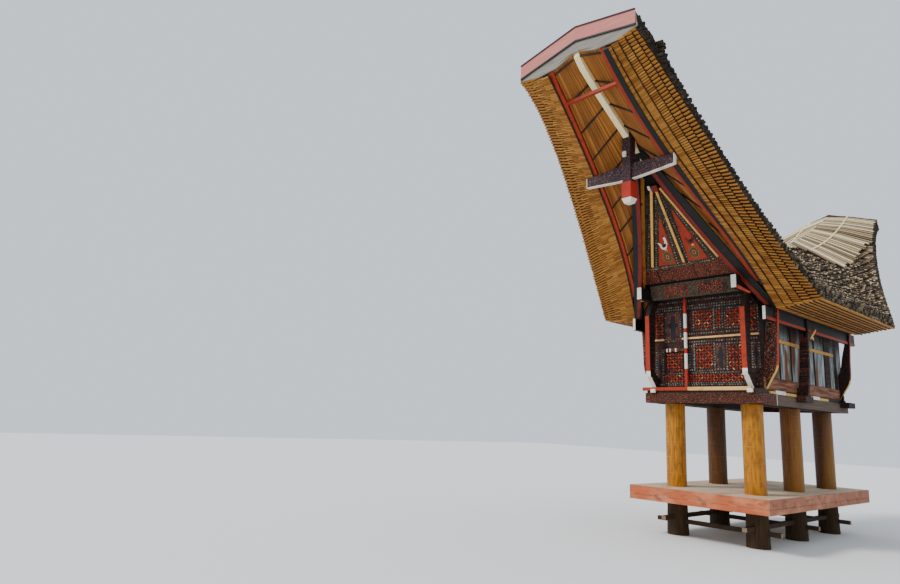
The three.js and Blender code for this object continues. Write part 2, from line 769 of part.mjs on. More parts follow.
// Pendant: a square post that hangs from the ridge beam, with a cross arm lapped under the rails.
function pendant(sign) {
  const prow = sign < 0 ? FRONT_PROW : REAR_PROW;
  const y = sign * (prow.reach - prow.pendantDistance);
  const drop = sectionAt(y).soffitZ - sectionAt(-PENDANT_DRAWN_AT).soffitZ;
  const square = (width, z0, z1) =>
    block([-width / 2, width / 2], [y - width / 2, y + width / 2], [z0 + drop, z1 + drop]);
  const tip = new THREE.CylinderGeometry(
    PENDANT_COLLAR_WIDTH * Math.SQRT1_2,
    PENDANT_TIP_WIDTH * Math.SQRT1_2,
    PENDANT_TIP_HEIGHT + 1,
    4,
    1,
    false,
    Math.PI / 4,
  )
    .rotateX(Math.PI / 2)
    .translate(0, y, PENDANT_BOTTOM + PENDANT_TIP_HEIGHT / 2 + drop);
  const arm = crossPlate(
    outlineOf([
      [-ARM_HALF_LENGTH, ARM_TIP_Z[0]],
      [-PENDANT_WIDTH, ARM_MIDDLE_Z[0]],
      [PENDANT_WIDTH, ARM_MIDDLE_Z[0]],
      [ARM_HALF_LENGTH, ARM_TIP_Z[0]],
      [ARM_HALF_LENGTH, ARM_TIP_Z[1]],
      [PENDANT_WIDTH, ARM_MIDDLE_Z[1]],
      [-PENDANT_WIDTH, ARM_MIDDLE_Z[1]],
      [-ARM_HALF_LENGTH, ARM_TIP_Z[1]],
    ]),
    [y - ARM_THICKNESS / 2, y + ARM_THICKNESS / 2],
  ).translate(0, 0, drop);
  const whole = join([
    square(PENDANT_WIDTH, PENDANT_COLLAR_Z - 1, PENDANT_TOP),
    square(PENDANT_COLLAR_WIDTH, PENDANT_BOTTOM + PENDANT_TIP_HEIGHT, PENDANT_COLLAR_Z),
    tip,
    arm,
  ]);
  const rails = Object.values(SIDES).flatMap((side) =>
    [-GAP, GAP].map((shift) => rail(sign, side).translate(shift, 0, -2 * GAP)),
  );
  return cut(whole, [...roofClearance, ...rails, ridgeBeam(GAP)]);
}

// Fascia: a thin board over the end of the roof, with a curved lower edge.
function fascia(sign) {
  const prow = sign < 0 ? FRONT_PROW : REAR_PROW;
  const { ridge, eaveX, eaveZ, soffitZ } = sectionAt(sign * prow.reach);
  const topX = eaveX - EAVE_LEAN;
  const topZ = eaveZ + EAVE_HEIGHT;
  const railX = SOFFIT_TIP_X - RAIL_WIDTH;
  const fallAtRail = soffitZ + FASCIA_RAIL_DEPTH - (ridge - FASCIA_CENTRE_DEPTH);
  const fallAtTip = eaveZ - FASCIA_TIP_DROP - (ridge - FASCIA_CENTRE_DEPTH);
  const bend = (fallAtTip / eaveX - fallAtRail / railX) / (eaveX - railX);
  const slope = fallAtRail / railX - bend * railX;
  const lowerEdge = (x) => ridge - FASCIA_CENTRE_DEPTH + slope * x + bend * x * x;
  const upperEdge = [
    [0, ridge],
    ...FLANK_SHARES.map((share) => [topX * share, ridge + (topZ - ridge) * share + FLANK_SWELL]),
    [topX, topZ],
    [eaveX - FASCIA_END_INSET, eaveZ + FASCIA_END_HEIGHT],
  ];
  const ringAt = (side, [x, z]) => {
    const outer = endLine(sign, x);
    const inner = outer - sign * FASCIA_THICKNESS;
    return [
      [outer, lowerEdge(x)],
      [inner, lowerEdge(x)],
      [inner, z],
      [outer, z],
    ].map(([y, height]) => new THREE.Vector3(side * x, y, height));
  };
  const left = upperEdge.slice(1).reverse();
  return loft(
    [
      ...left.map((point) => ringAt(SIDES.left, point)),
      ...upperEdge.map((point) => ringAt(SIDES.right, point)),
    ],
    ['y', 'z'],
  );
}

const gablePanelOutline = outlineOf([
  [-1200, END_WALL_TOP + GAP],
  [1200, END_WALL_TOP + GAP],
  [1000, 5400],
  [0, 7200],
  [-1000, 5400],
]);
const crossBoardHalf = PURLIN_X[0] - GAP;
const crossBoardOutline = outlineOf([
  [-crossBoardHalf, CROSS_BOARD.foot[1]],
  [crossBoardHalf, CROSS_BOARD.foot[1]],
  [crossBoardHalf, CROSS_BOARD.head[1]],
  [-crossBoardHalf, CROSS_BOARD.head[1]],
]);
const crossBoardLean =
  (CROSS_BOARD.head[0] - CROSS_BOARD.foot[0]) / (CROSS_BOARD.head[1] - CROSS_BOARD.foot[1]);

for (const [end, sign] of Object.entries(ENDS)) {
  const prow = sign < 0 ? FRONT_PROW : REAR_PROW;
  const panel = leaningBoard(
    gablePanelOutline,
    sign,
    [GABLE_PANEL_FOOT_Y, END_WALL_TOP],
    GABLE_LEAN,
    GABLE_PANEL_THICKNESS,
  );
  const fitted = cut(panel, [...roofClearance, ...bothPurlins, ridgeBeam(GAP)]);
  add(`gable_panel_${end}`, fitted, wallTimber);
  const board = leaningBoard(
    crossBoardOutline,
    sign,
    CROSS_BOARD.foot,
    crossBoardLean,
    CROSS_BOARD.thickness,
  );
  add(`gable_cross_board_${end}`, board, wallTimber);
  const v = cut(vFrame(sign, prow), [...roofClearance, ...bothPurlins, ridgeBeam(GAP)]);
  add(`gable_v_boards_${end}`, v, darkTimber);
  add(`prow_rails_${end}`, prowFrame(sign), redTimber);
  add(`pendant_${end}`, pendant(sign), darkTimber);
  add(`fascia_${end}`, fascia(sign), pinkBoard);
}

// The same outline on the other side of zero.
function mirrored(shape, sign) {
  return outlineOf(shape.getPoints(3).map(({ x, y }) => [sign * x, y]));
}

// Bowed bracket beside the corner: its outer horn stands outside the plate. The rear one is
// slender, with an opening between its bow and the wall.
function bowedSideBracket(isSlender) {
  const shape = new THREE.Shape();
  shape.moveTo(WALL_HALF_WIDTH + GAP, FLOOR_TOP + GAP);
  shape.lineTo(1122, FLOOR_TOP + GAP);
  shape.splineThru([
    new THREE.Vector2(1214, 2948),
    new THREE.Vector2(1335, 3197),
    new THREE.Vector2(1360, 3645),
    new THREE.Vector2(BRACKET_HORN_X, 4110),
  ]);
  if (isSlender) {
    addOpenPlateSeat(shape);
    shape.splineThru([
      new THREE.Vector2(1222, 3700),
      new THREE.Vector2(1176, 3440),
      new THREE.Vector2(WALL_HALF_WIDTH + GAP, 3270),
    ]);
  } else {
    addPlateSeat(shape);
    shape.lineTo(1213, 4036);
    shape.splineThru([new THREE.Vector2(1166, 3700), new THREE.Vector2(WALL_HALF_WIDTH + GAP, 3300)]);
  }
  shape.closePath();
  return shape;
}

// Straight bracket in the middle of the side, standing on a block at the sill.
function straightSideBracket() {
  const shape = new THREE.Shape();
  shape.moveTo(FLOOR_HALF_WIDTH + GAP, STRAIGHT_BRACKET_FOOT_Z);
  shape.lineTo(1330, STRAIGHT_BRACKET_FOOT_Z);
  shape.splineThru([new THREE.Vector2(1372, 3300), new THREE.Vector2(BRACKET_HORN_X, 4060)]);
  addPlateSeat(shape);
  shape.lineTo(1236, 4036);
  shape.splineThru([
    new THREE.Vector2(1206, 3320),
    new THREE.Vector2(FLOOR_HALF_WIDTH + GAP, STRAIGHT_BRACKET_FOOT_Z),
  ]);
  shape.closePath();
  return shape;
}

// Notch in the head of a side bracket, in which the eave plate lies.
function addOpenPlateSeat(shape) {
  shape.lineTo(BRACKET_HORN_X, PLATE_Z[1] - GAP);
  shape.lineTo(PLATE_X[1] + GAP, PLATE_Z[1] - GAP);
  shape.lineTo(PLATE_X[1] + GAP, PLATE_Z[0] - GAP);
  shape.lineTo(PLATE_X[0] - GAP, PLATE_Z[0] - GAP);
}
function addPlateSeat(shape) {
  addOpenPlateSeat(shape);
  shape.lineTo(PLATE_X[0] - GAP, BRACKET_INNER_LEG_TOP);
  shape.lineTo(PLATE_X[0] - 60, BRACKET_INNER_LEG_TOP);
}

// Block against the sill under a side bracket, with the neck that joins them.
function bracketBlock(sign, [y0, y1]) {
  const middle = (y0 + y1) / 2;
  const ys = [middle - BRACKET_BLOCK.halfLength, middle + BRACKET_BLOCK.halfLength];
  const floorEdge = FLOOR_HALF_WIDTH + GAP;
  const { outerX, z } = BRACKET_BLOCK;
  return [
    block(onSide(sign, [floorEdge, outerX]), ys, [SILL_TOP + GAP, z[1]]),
    block(onSide(sign, [SILL_HALF_WIDTH + GAP, outerX]), ys, z),
    block(
      onSide(sign, [floorEdge, BRACKET_NECK.outerX]),
      [y0, y1],
      [SILL_TOP + GAP, BRACKET_NECK.top],
    ),
  ];
}

// Bowed bracket in front of an end wall, in Y and Z, with its neck under the purlin.
function endBracketOutline() {
  const shape = new THREE.Shape();
  shape.moveTo(WALL_HALF_LENGTH + GAP, FLOOR_TOP + GAP);
  shape.lineTo(FLOOR_HALF_LENGTH - 10, FLOOR_TOP + GAP);
  shape.splineThru([
    new THREE.Vector2(2297, 2992),
    new THREE.Vector2(2348, 3120),
    new THREE.Vector2(2362, 4236),
  ]);
  shape.lineTo(2200, PURLIN_Z[0] - GAP);
  shape.lineTo(2060, PURLIN_Z[0] - GAP);
  shape.lineTo(2120, 4330);
  shape.lineTo(2190, 3130);
  shape.splineThru([
    new THREE.Vector2(2120, 3050),
    new THREE.Vector2(WALL_HALF_LENGTH + GAP, 2990),
  ]);
  shape.closePath();
  return shape;
}

for (const [side, sign] of Object.entries(SIDES)) {
  for (const [place, y] of Object.entries(SIDE_BRACKET_Y)) {
    const outline = place === 'middle' ? straightSideBracket() : bowedSideBracket(place === 'rear');
    const ys = [y - SIDE_BRACKET_THICKNESS / 2, y + SIDE_BRACKET_THICKNESS / 2];
    const board = crossPlate(mirrored(outline, sign), ys);
    const bracket = place === 'front' ? board : join([board, ...bracketBlock(sign, ys)]);
    add(`side_bracket_${place}_${side}`, bracket, bracketTimber);
  }
  for (const [end, endSign] of Object.entries(ENDS)) {
    const xs = [
      sign * END_BRACKET_X - END_BRACKET_THICKNESS / 2,
      sign * END_BRACKET_X + END_BRACKET_THICKNESS / 2,
    ];
    const bracket = longPlate(mirrored(endBracketOutline(), endSign), xs);
    add(`end_bracket_${end}_${side}`, bracket, bracketTimber);
  }
}

const POLE_LENGTH = POLE_TOP - FLOOR_TOP - GAP;
const pole = new THREE.CylinderGeometry(POLE_RADIUS, POLE_RADIUS, POLE_LENGTH, 12);
pole.rotateX(Math.PI / 2);
add('striped_pole', pole, redTimber, [...POLE_PLACE, FLOOR_TOP + GAP + POLE_LENGTH / 2]);

export default house;
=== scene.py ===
import math
import random
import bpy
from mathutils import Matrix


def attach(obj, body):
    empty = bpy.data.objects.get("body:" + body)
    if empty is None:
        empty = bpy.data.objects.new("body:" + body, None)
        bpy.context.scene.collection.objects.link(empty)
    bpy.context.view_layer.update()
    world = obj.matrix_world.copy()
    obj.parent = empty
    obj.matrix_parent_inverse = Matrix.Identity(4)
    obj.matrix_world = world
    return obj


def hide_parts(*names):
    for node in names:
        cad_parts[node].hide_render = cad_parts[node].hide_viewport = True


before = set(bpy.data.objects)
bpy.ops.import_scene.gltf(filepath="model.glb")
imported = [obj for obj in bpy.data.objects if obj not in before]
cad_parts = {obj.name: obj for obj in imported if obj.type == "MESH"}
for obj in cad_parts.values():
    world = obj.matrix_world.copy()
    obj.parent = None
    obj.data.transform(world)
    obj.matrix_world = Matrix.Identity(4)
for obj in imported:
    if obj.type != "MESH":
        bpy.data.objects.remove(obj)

from types import SimpleNamespace

import bpy
import numpy as np
from mathutils import Matrix, Vector

random.seed(11)
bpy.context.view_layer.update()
bpy.ops.object.select_all(action="DESELECT")


# The view. The camera stands at the eye height of a grown-up, right of the front and turned
# up a little. Its place and lens come from the straight edges of the platform and the sills.
ahead = Vector((-0.74029, 0.64254, 0.19776))
rightwards = Vector((0.66149, 0.74869, 0.04364))
upwards = Vector((0.12002, -0.16312, 0.97928))
turn = Matrix((rightwards, upwards, -ahead)).transposed()
bpy.ops.object.camera_add(location=(6.144, -13.639, 1.949), rotation=turn.to_euler())
camera = bpy.context.object
camera.data.lens = 25.724
camera.data.sensor_width = 36.0
bpy.context.scene.camera = camera


# Daylight under a bright sky: a soft sun from the front left, the sky itself, and a pale
# floor that throws light up under the eaves and the prow.
bpy.ops.object.light_add(type="SUN", rotation=(math.radians(48), 0, math.radians(-28)))
sun = bpy.context.object
sun.data.energy = 2.6
sun.data.angle = math.radians(14)
sun.data.color = (1.0, 0.96, 0.9)
sky = bpy.data.worlds.new("sky")
sky.use_nodes = True
sky.node_tree.nodes["Background"].inputs["Color"].default_value = (0.82, 0.9, 1.0, 1.0)
sky.node_tree.nodes["Background"].inputs["Strength"].default_value = 1.05
bpy.context.scene.world = sky
bpy.ops.mesh.primitive_plane_add(size=90, location=(0, 0, 0))
ground = bpy.context.object
ground.name = "floor_of_the_studio"


# The six posts are whole trunks of sugar palm, peeled and rubbed smooth. They are golden at
# the front and browner towards the rear, partly in their own colour and partly with painted
# shade. They are darkest, with painted shade, at the rear and on the left, the right-hand posts
# carry a painted highlight on their right sides, and all are grey-brown under the platform,
# where rain splashes.
def feed(tree, node, values):
    """Gives a node's inputs their values, or links them to other nodes."""
    for key, value in values.items():
        if isinstance(value, Shade):
            tree.links.new(value.socket, node.inputs[key])
        else:
            node.inputs[key].default_value = value


class Shade:
    """A value in a material's nodes. Arithmetic on it adds Math nodes."""

    def __init__(self, tree, socket):
        self.tree = tree
        self.socket = socket

    def node(self, kind, settings, values, output=0):
        """Adds a node of one kind, with its settings, and gives one of its outputs."""
        made = self.tree.nodes.new("ShaderNode" + kind)
        for name, value in settings.items():
            setattr(made, name, value)
        feed(self.tree, made, values)
        return Shade(self.tree, made.outputs[output])

    def axis(self, name):
        """The X, Y or Z of a place."""
        return self.node("SeparateXYZ", {}, {0: self}, name)

    def maths(self, operation, *others):
        return self.node("Math", {"operation": operation}, dict(enumerate([self, *others])))

    def __add__(self, other):
        return self.maths("ADD", other)

    def __sub__(self, other):
        return self.maths("SUBTRACT", other)

    def __rsub__(self, other):
        return (self * -1.0).maths("ADD", other)

    def __mul__(self, other):
        return self.maths("MULTIPLY", other)

    def __mod__(self, other):
        return self.maths("FLOORED_MODULO", other)

    def __gt__(self, other):
        return self.maths("GREATER_THAN", other)

    def __lt__(self, other):
        return self.maths("LESS_THAN", other)

    def __abs__(self):
        return self.maths("ABSOLUTE")

    __radd__ = __add__
    __rmul__ = __mul__


def start_finish(name):
    """A new material, and the place on the object that its pattern goes by."""
    material = bpy.data.materials.new(name)
    material.use_nodes = True
    tree = material.node_tree
    return material, Shade(tree, tree.nodes.new("ShaderNodeTexCoord").outputs["Object"])


def end_finish(material, colour, roughness, height, depth):
    """Feeds the colour, the roughness and the relief to the material's shader."""
    relief = height.node("Bump", {}, {"Height": height, "Distance": depth})
    feed(material.node_tree, material.node_tree.nodes["Principled BSDF"], {
        "Base Color": colour, "Roughness": roughness, "Specular IOR Level": 0.3, "Normal": relief,
    })
    return material


def grain(place, waves, detail=3.0):
    """Noise from 0 to 1, with so many waves a metre along X, Y and Z."""
    spread = place.node("VectorMath", {"operation": "MULTIPLY"}, {0: place, 1: waves})
    return place.node("TexNoise", {}, {"Vector": spread, "Scale": 1.0, "Detail": detail})


def ease(value, low, high):
    """0 under the low value, 1 over the high one, and smooth between them."""
    return value.node("MapRange", {"interpolation_type": "SMOOTHSTEP"}, {0: value, 1: low, 2: high})


def light_of(colour):
    """Turns a colour as it looks on a screen, from 0 to 255, into light."""
    if isinstance(colour, Shade):
        return colour
    light = [c / 255 / 12.92 if c < 11 else ((c / 255 + 0.055) / 1.055) ** 2.4 for c in colour]
    return (*light, 1.0)


def tint(amount, under, over):
    """One colour laid over another by an amount from 0 to 1."""
    colours = {0: amount, 6: light_of(under), 7: light_of(over)}
    return amount.node("Mix", {"data_type": "RGBA"}, colours, 2)


def dress(material, *nodes):
    """Gives CAD nodes their material."""
    for node in nodes:
        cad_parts[node].material_slots[0].material = material


SIDES = {"left": -1, "right": 1}
ENDS = {"front": -1, "rear": 1}
ROWS = ("front", "middle", "rear")

palm, place = start_finish("palm trunk")
x, y, z = map(place.axis, "XYZ")
fibres = ease(grain(place, (60.0, 60.0, 2.0), 4.0), 0.2, 0.8)
patches = grain(place, (4.0, 4.0, 2.2), 4.0)
mottled = grain(place, (16.0, 16.0, 5.0), 5.0)
rings = ease(abs((z * 3.3 + patches * 0.4) % 1.0 - 0.5), 0.475, 0.5) * ease(mottled, 0.4, 0.6)
gold = tint(fibres, (146, 88, 0), (196, 128, 0))
gold = tint(ease(mottled, 0.44, 0.62) * 0.5, gold, (104, 58, 0))
gold = tint(rings * 0.5, gold, (220, 160, 60))
brown = tint(fibres, (66, 32, 3), (120, 68, 11))
# Painted shade: the rear row is darker still.
brown = tint(ease(y, 0.6, 1.6), brown, tint(fibres, (42, 18, 2), (84, 42, 8)))
# Painted highlight: the right-hand posts are lighter on their right sides, more so lower down.
brown = tint(ease(x - z * 0.12, 0.55, 0.8) * 0.6, brown, (146, 98, 6))
# Painted shade: the left-hand posts are darker.
brown = tint(x < 0.0, brown, tint(fibres, (38, 17, 3), (78, 40, 10)))
brown = tint(rings * 0.3, brown, (150, 96, 34))
# Golden at the front, giving way to brown towards the rear: partly the trunks' own colour, partly painted
# shade.
gold = tint(ease(y + patches * 0.6, -1.1, 0.7) * 0.95, gold, brown)
splash = 1.0 - ease(z + patches * 0.3, 0.72, 1.0)
gold = tint(splash * 0.95, gold, tint(fibres, (26, 18, 9), (60, 46, 29)))
end_finish(palm, gold, 0.42 + splash * 0.4, fibres * 0.5 + rings, 0.003)
dress(palm, *(f"post_{row}_{side}" for side in SIDES for row in ROWS))


# Ties through the feet of the posts, bearers under the platform, floor beams and the floor
# of the store. All are sawn hardwood that has gone dark, with pale ends where it is sawn.
TIE_END_X, TIE_END_Y = 1.187, 2.222
POSTS_MIDDLE = 0.245
dark_wood, place = start_finish("dark hardwood")
streaks = grain(place, (9.0, 2.5, 30.0), 5.0)
brown = tint(streaks, (24, 16, 11), (62, 46, 33))
brown = tint(ease(grain(place, (2.0, 1.5, 3.0)), 0.5, 0.8) * 0.5, brown, (92, 78, 62))
end_finish(dark_wood, brown, 0.62 + streaks * 0.3, streaks, 0.004)
tie_wood, place = start_finish("dark hardwood with sawn ends")
x, y = map(place.axis, "XY")
streaks = grain(place, (4.0, 4.0, 34.0), 5.0)
sawn = (abs(x) > TIE_END_X) + (abs(y - POSTS_MIDDLE) > TIE_END_Y)
brown = tint(streaks, (28, 19, 13), (80, 60, 42))
end_finish(tie_wood, tint(sawn, brown, (128, 110, 86)), 0.8, streaks, 0.004)
dress(tie_wood, *(f"cross_tie_{row}" for row in ROWS), *(f"long_tie_{side}" for side in SIDES))
dress(dark_wood, *(f"{beam}_{side}" for beam in ("platform_bearer", "floor_beam") for side in SIDES))
dress(dark_wood, "floor")


# The sitting platform: nine long planks, worn grey and smooth, cut round the posts, with a
# board of two strips on each edge that is painted salmon pink.
def eased(width, segments=2):
    """Puts the piece in hand in place and eases its edges."""
    bpy.ops.object.transform_apply(location=True, rotation=True, scale=True)
    bpy.ops.object.mode_set(mode="EDIT")
    bpy.ops.mesh.bevel(offset=width, segments=segments)
    bpy.ops.object.mode_set(mode="OBJECT")
    return bpy.context.object


def board(corner, opposite, ease_by=0.004):
    """A sawn board between two opposite corners, with its edges eased."""
    low, high = map(Vector, zip(*map(sorted, zip(corner, opposite))))
    bpy.ops.mesh.primitive_cube_add(size=1, location=(low + high) / 2, scale=high - low)
    return eased(ease_by)


def joined(pieces):
    """Several finished shapes as one."""
    bpy.ops.object.select_all(action="DESELECT")
    for piece in pieces:
        piece.select_set(True)
    bpy.context.view_layer.objects.active = pieces[0]
    if len(pieces) > 1:
        bpy.ops.object.join()
    return bpy.context.object


def boards(corners, ease_by=0.004):
    """Several boards as one piece, each given by two corners."""
    return joined([board(*pair, ease_by) for pair in corners])


def fit(piece, name, material, slot, *stands_for):
    """Names a piece, sets it on the house and puts its place in its mesh. Pieces are drawn
    about the middle of the posts, which lies behind the middle of the whole length."""
    bpy.ops.object.select_all(action="DESELECT")
    piece.select_set(True)
    bpy.context.view_layer.objects.active = piece
    piece.location.y += POSTS_MIDDLE
    bpy.ops.object.transform_apply(location=True, rotation=True, scale=True)
    piece.name = name
    piece.data.materials.clear()
    piece.data.materials.append(material)
    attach(piece, "root")
    if stands_for:
        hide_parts(*stands_for)
    piece.select_set(False)


DECK_X, DECK_Y = 1.306, 2.467
DECK_FOOT, DECK_TOP = 0.865, 0.904
POST_X, POST_Y = 0.772, 1.705
PLANKS = 9
wide = 2 * DECK_X / PLANKS
deck = boards(
    ((-DECK_X + i * wide + 0.002, -DECK_Y, DECK_FOOT),
     (-DECK_X + (i + 1) * wide - 0.002, DECK_Y, DECK_TOP - random.uniform(0.0, 0.003)))
    for i in range(PLANKS)
)
for x in (-POST_X, POST_X):
    for y in (-POST_Y, 0.0, POST_Y):
        bpy.ops.mesh.primitive_cylinder_add(vertices=48, radius=0.194, depth=0.2, location=(x, y, 0.88))
        trunk = bpy.context.object
        bpy.context.view_layer.objects.active = deck
        hole = deck.modifiers.new("hole", "BOOLEAN")
        hole.object = trunk
        hole.solver = "EXACT"
        bpy.ops.object.modifier_apply(modifier="hole")
        bpy.data.objects.remove(trunk)
deck_wood, place = start_finish("worn grey planks")
streaks = grain(place, (34.0, 1.3, 20.0), 5.0)
each_plank = grain(place, (3.4, 0.05, 0.0), 0.0)
grey = tint(streaks, (154, 130, 104), (234, 212, 184))
grey = tint(ease(each_plank, 0.3, 0.7) * 0.4, grey, (164, 138, 104))
grey = tint(ease(grain(place, (1.6, 1.2, 1.0)), 0.52, 0.75) * 0.4, grey, (108, 92, 72))
end_finish(deck_wood, grey, 0.6 + streaks * 0.3, streaks, 0.002)
fit(deck, "deck_planks", deck_wood, "deck_planks", "platform_deck")

SKIRT_X, SKIRT_Y = 1.337, 2.468
pink_paint, place = start_finish("salmon pink paint")
brushed = grain(place, (3.0, 3.0, 46.0), 4.0)
at_sides = abs(place.axis("X")) > 1.3065
pink = tint(brushed, (160, 76, 42), (194, 104, 62))
pink = tint(at_sides * 0.75, pink, tint(brushed, (132, 86, 62), (166, 112, 84)))
pink = tint(ease(grain(place, (2.2, 2.2, 4.0), 4.0), 0.45, 0.7) * 0.6, pink, (206, 140, 100))
pink = tint(ease(grain(place, (5.0, 5.0, 9.0), 5.0), 0.54, 0.7) * 0.6, pink, (106, 60, 44))
end_finish(pink_paint, pink, 0.5 + brushed * 0.25, brushed, 0.002)
for end, away in ENDS.items():
    strips = boards((
        ((-SKIRT_X, away * 2.469, 0.744), (SKIRT_X, away * 2.498, 0.903)),
        ((-SKIRT_X, away * 2.472, 0.644), (SKIRT_X, away * 2.495, 0.741)),
    ), 0.006)
    fit(strips, f"platform_edge_{end}", pink_paint, "pink_board", f"platform_skirt_{end}")
for side, sign in SIDES.items():
    strips = boards((
        ((sign * 1.308, -SKIRT_Y, 0.744), (sign * SKIRT_X, SKIRT_Y, 0.903)),
        ((sign * 1.311, -SKIRT_Y, 0.644), (sign * 1.334, SKIRT_Y, 0.741)),
    ), 0.006)
    fit(strips, f"platform_edge_{side}", pink_paint, "pink_board", f"platform_skirt_{side}")


# The sills that carry the store. The front and rear ones are carved all along with a
# running scroll in brown, red and cream. The side ones are plain, but for the end nearest
# the front, where the carving goes round the corner as far as a white line.
def scroll(along, up, pitch):
    """A carved running scroll: how high it stands at each spot."""
    grid = along.node("CombineXYZ", {}, {0: along * (1.0 / pitch), 1: up * (1.0 / pitch), 2: 0.0})
    eyes = grid.node("TexVoronoi", {"feature": "F1"}, {"Vector": grid, "Scale": 1.0, "Randomness": 0.35})
    turns = eyes * 2.6 + along * (0.5 / pitch) + up * (0.5 / pitch)
    return abs(turns % 1.0 - 0.5) * 2.0


def carved_colour(place, along, up, pitch, shares, dark, curl_colour, speck_colour=(206, 168, 128)):
    """Carving on a dark ground: painted curls and pale specks, each by its share."""
    curls, specks = shares
    curl = scroll(along, up, pitch)
    dirt = grain(place, (7.0, 7.0, 7.0), 4.0)
    picked = ease(curl, 0.52, 0.66) * ease(dirt, 0.3, 0.45)
    colour = tint(picked * curls, tint(dirt, (14, 9, 7), dark), curl_colour)
    pale = ease(grain(place, (58.0, 58.0, 58.0), 1.0), 0.6, 0.68) * ease(curl, 0.2, 0.5)
    return tint(pale * specks, colour, speck_colour), curl - dirt * 0.3


def carved_finish(name, *carving):
    """A finish for carved and painted wood, with its curls in rows along X."""
    material, place = start_finish(name)
    colour, relief = carved_colour(place, place.axis("X"), place.axis("Z"), *carving)
    return end_finish(material, colour, 0.72, relief, 0.006)


CARVING_FROM, CARVING_TO, WHITE_LINE = -1.905, -1.31, -1.3
dress(
    carved_finish("carved sill", 0.055, (0.8, 0.22), (40, 18, 6), (112, 44, 14)),
    "sill_front", "sill_rear",
)
plain_sill, place = start_finish("plain sill with a carved end")
y, z = map(place.axis, "YZ")
streaks = grain(place, (8.0, 1.6, 34.0), 5.0)
plain = tint(streaks, (44, 32, 25), (114, 94, 80))
carving = carved_colour(place, y, z, 0.09, (0.85, 0.3), (44, 23, 17), (112, 48, 36))[0]
sill_colour = tint((y < CARVING_TO) * (y > CARVING_FROM), plain, carving)
sill_colour = tint(abs(y - WHITE_LINE) < 0.012, sill_colour, (214, 200, 176))
end_finish(plain_sill, sill_colour, 0.75, streaks, 0.003)
dress(plain_sill, "sill_left", "sill_right")


# Strips along the edge of the floor. The front one is a lath, red on the left and cream on
# the right, white joist ends stick out at the foot of each front bracket, and white blocks
# and yellow strips lie on the side sills between the brackets.
def plain_paint(name, light, shadow, worn, roughness=0.55):
    """Brushed oil paint with grime in its streaks."""
    material, place = start_finish(name)
    brushed = grain(place, (14.0, 14.0, 14.0), 4.0)
    grime = ease(grain(place, (5.0, 5.0, 7.0), 4.0), 0.54, 0.7) * 0.5
    return end_finish(material, tint(grime, tint(brushed, shadow, light), worn), roughness, brushed, 0.002)


def half_turn(end):
    """Takes what is drawn at the front to its end of the house."""
    return Matrix.Rotation(math.pi if end == "rear" else 0.0, 4, "Z")


def fit_all(where, *pieces):
    """Fits pieces that are drawn for the front or for the right side. They are turned round
    for the rear, and mirrored for the left side."""
    for name, piece, material, slot in pieces:
        piece.data.transform(half_turn(where))
        if where == "left":
            piece.data.transform(Matrix.Scale(-1, 4, (1, 0, 0)))
            piece.data.flip_normals()
        fit(piece, f"{name}_{where}", material, slot)


white_paint = plain_paint("white paint", (236, 230, 216), (208, 200, 184), (156, 142, 122))
bright_red_paint = plain_paint("bright red paint", (172, 50, 10), (136, 34, 7), (88, 28, 10))
red_paint = plain_paint("red paint", (160, 48, 10), (124, 32, 6), (70, 24, 8))
dark_red_paint = plain_paint("dark red paint", (128, 28, 10), (92, 17, 7), (50, 15, 8))
cream_wood = plain_paint("cream wood", (228, 184, 122), (204, 152, 88), (150, 104, 58))
ochre_wood = plain_paint("ochre pole", (236, 182, 98), (210, 150, 68), (152, 100, 46))
black_paint = plain_paint("black paint", (17, 16, 14), (8, 8, 7), (34, 30, 24))
yellow_paint = plain_paint("pale yellow paint", (214, 180, 84), (178, 138, 54), (118, 88, 40))
SILL_TOP = 2.7035
JOIST_X = 0.968
for end in ENDS:
    left_tip = -1.23 if end == "front" else -1.1
    red_lath = board((left_tip, -2.16, 2.744), (-0.25, -2.127, 2.812))
    cream_lath = board((-0.249, -2.16, 2.744), (0.976, -2.127, 2.812))
    stubs = boards(
        (((x - 0.05, -2.21, SILL_TOP), (x + 0.05, -2.1615, 2.776)) for x in (-JOIST_X, JOIST_X)), 0.006
    )
    fit_all(
        end,
        ("floor_lath_red", red_lath, bright_red_paint, "red_paint"),
        ("floor_lath_cream", cream_lath, cream_wood, "cream_wood"),
        ("joist_ends", stubs, white_paint, "cream_wood"),
    )
for side in SIDES:
    blocks = boards((
        ((1.1415, -1.618, SILL_TOP), (1.19, -1.2, 2.77)),
        ((1.1415, 0.13, SILL_TOP), (1.19, 0.47, 2.77)),
    ))
    strips = boards((
        ((1.1415, -1.198, SILL_TOP), (1.182, -0.68, 2.752)),
        ((1.1415, 0.472, SILL_TOP), (1.182, 0.967, 2.752)),
        ((1.1415, -1.83, SILL_TOP), (1.186, -1.62, 2.745)),
    ))
    fit_all(
        side,
        ("white_blocks", blocks, white_paint, "cream_wood"),
        ("yellow_strips", strips, yellow_paint, "cream_wood"),
    )


# The curved brackets at the corners and in the middle of each side. They are planks sawn
# to a bow, dark and carved on their faces, with a painted strap of wood on the outer edge.
def pulled(steps):
    """The flat shape in hand, pulled along by each step in turn to a solid."""
    bpy.ops.object.mode_set(mode="EDIT")
    bpy.ops.mesh.select_all(action="SELECT")
    for step in steps:
        bpy.ops.mesh.extrude_region_move(TRANSFORM_OT_translate={"value": step})
    bpy.ops.mesh.select_all(action="SELECT")
    bpy.ops.mesh.normals_make_consistent(inside=False)
    bpy.ops.object.mode_set(mode="OBJECT")
    return bpy.context.object


def strap(points, half_wide, thick, across, out):
    """A thin strip bent along a line of points: its width runs along one axis, and its
    thickness stands out along another."""
    across, out = Vector(across) * half_wide, Vector(out) * thick
    first = Vector(points[0])
    bpy.ops.mesh.primitive_plane_add(size=1, location=(0, 0, 0))
    piece = bpy.context.object
    corners = (first - across, first + across, first - across + out, first + across + out)
    for vertex, corner in zip(piece.data.vertices, corners):
        vertex.co = corner
    return pulled([Vector(after) - Vector(before) for before, after in zip(points, points[1:])])


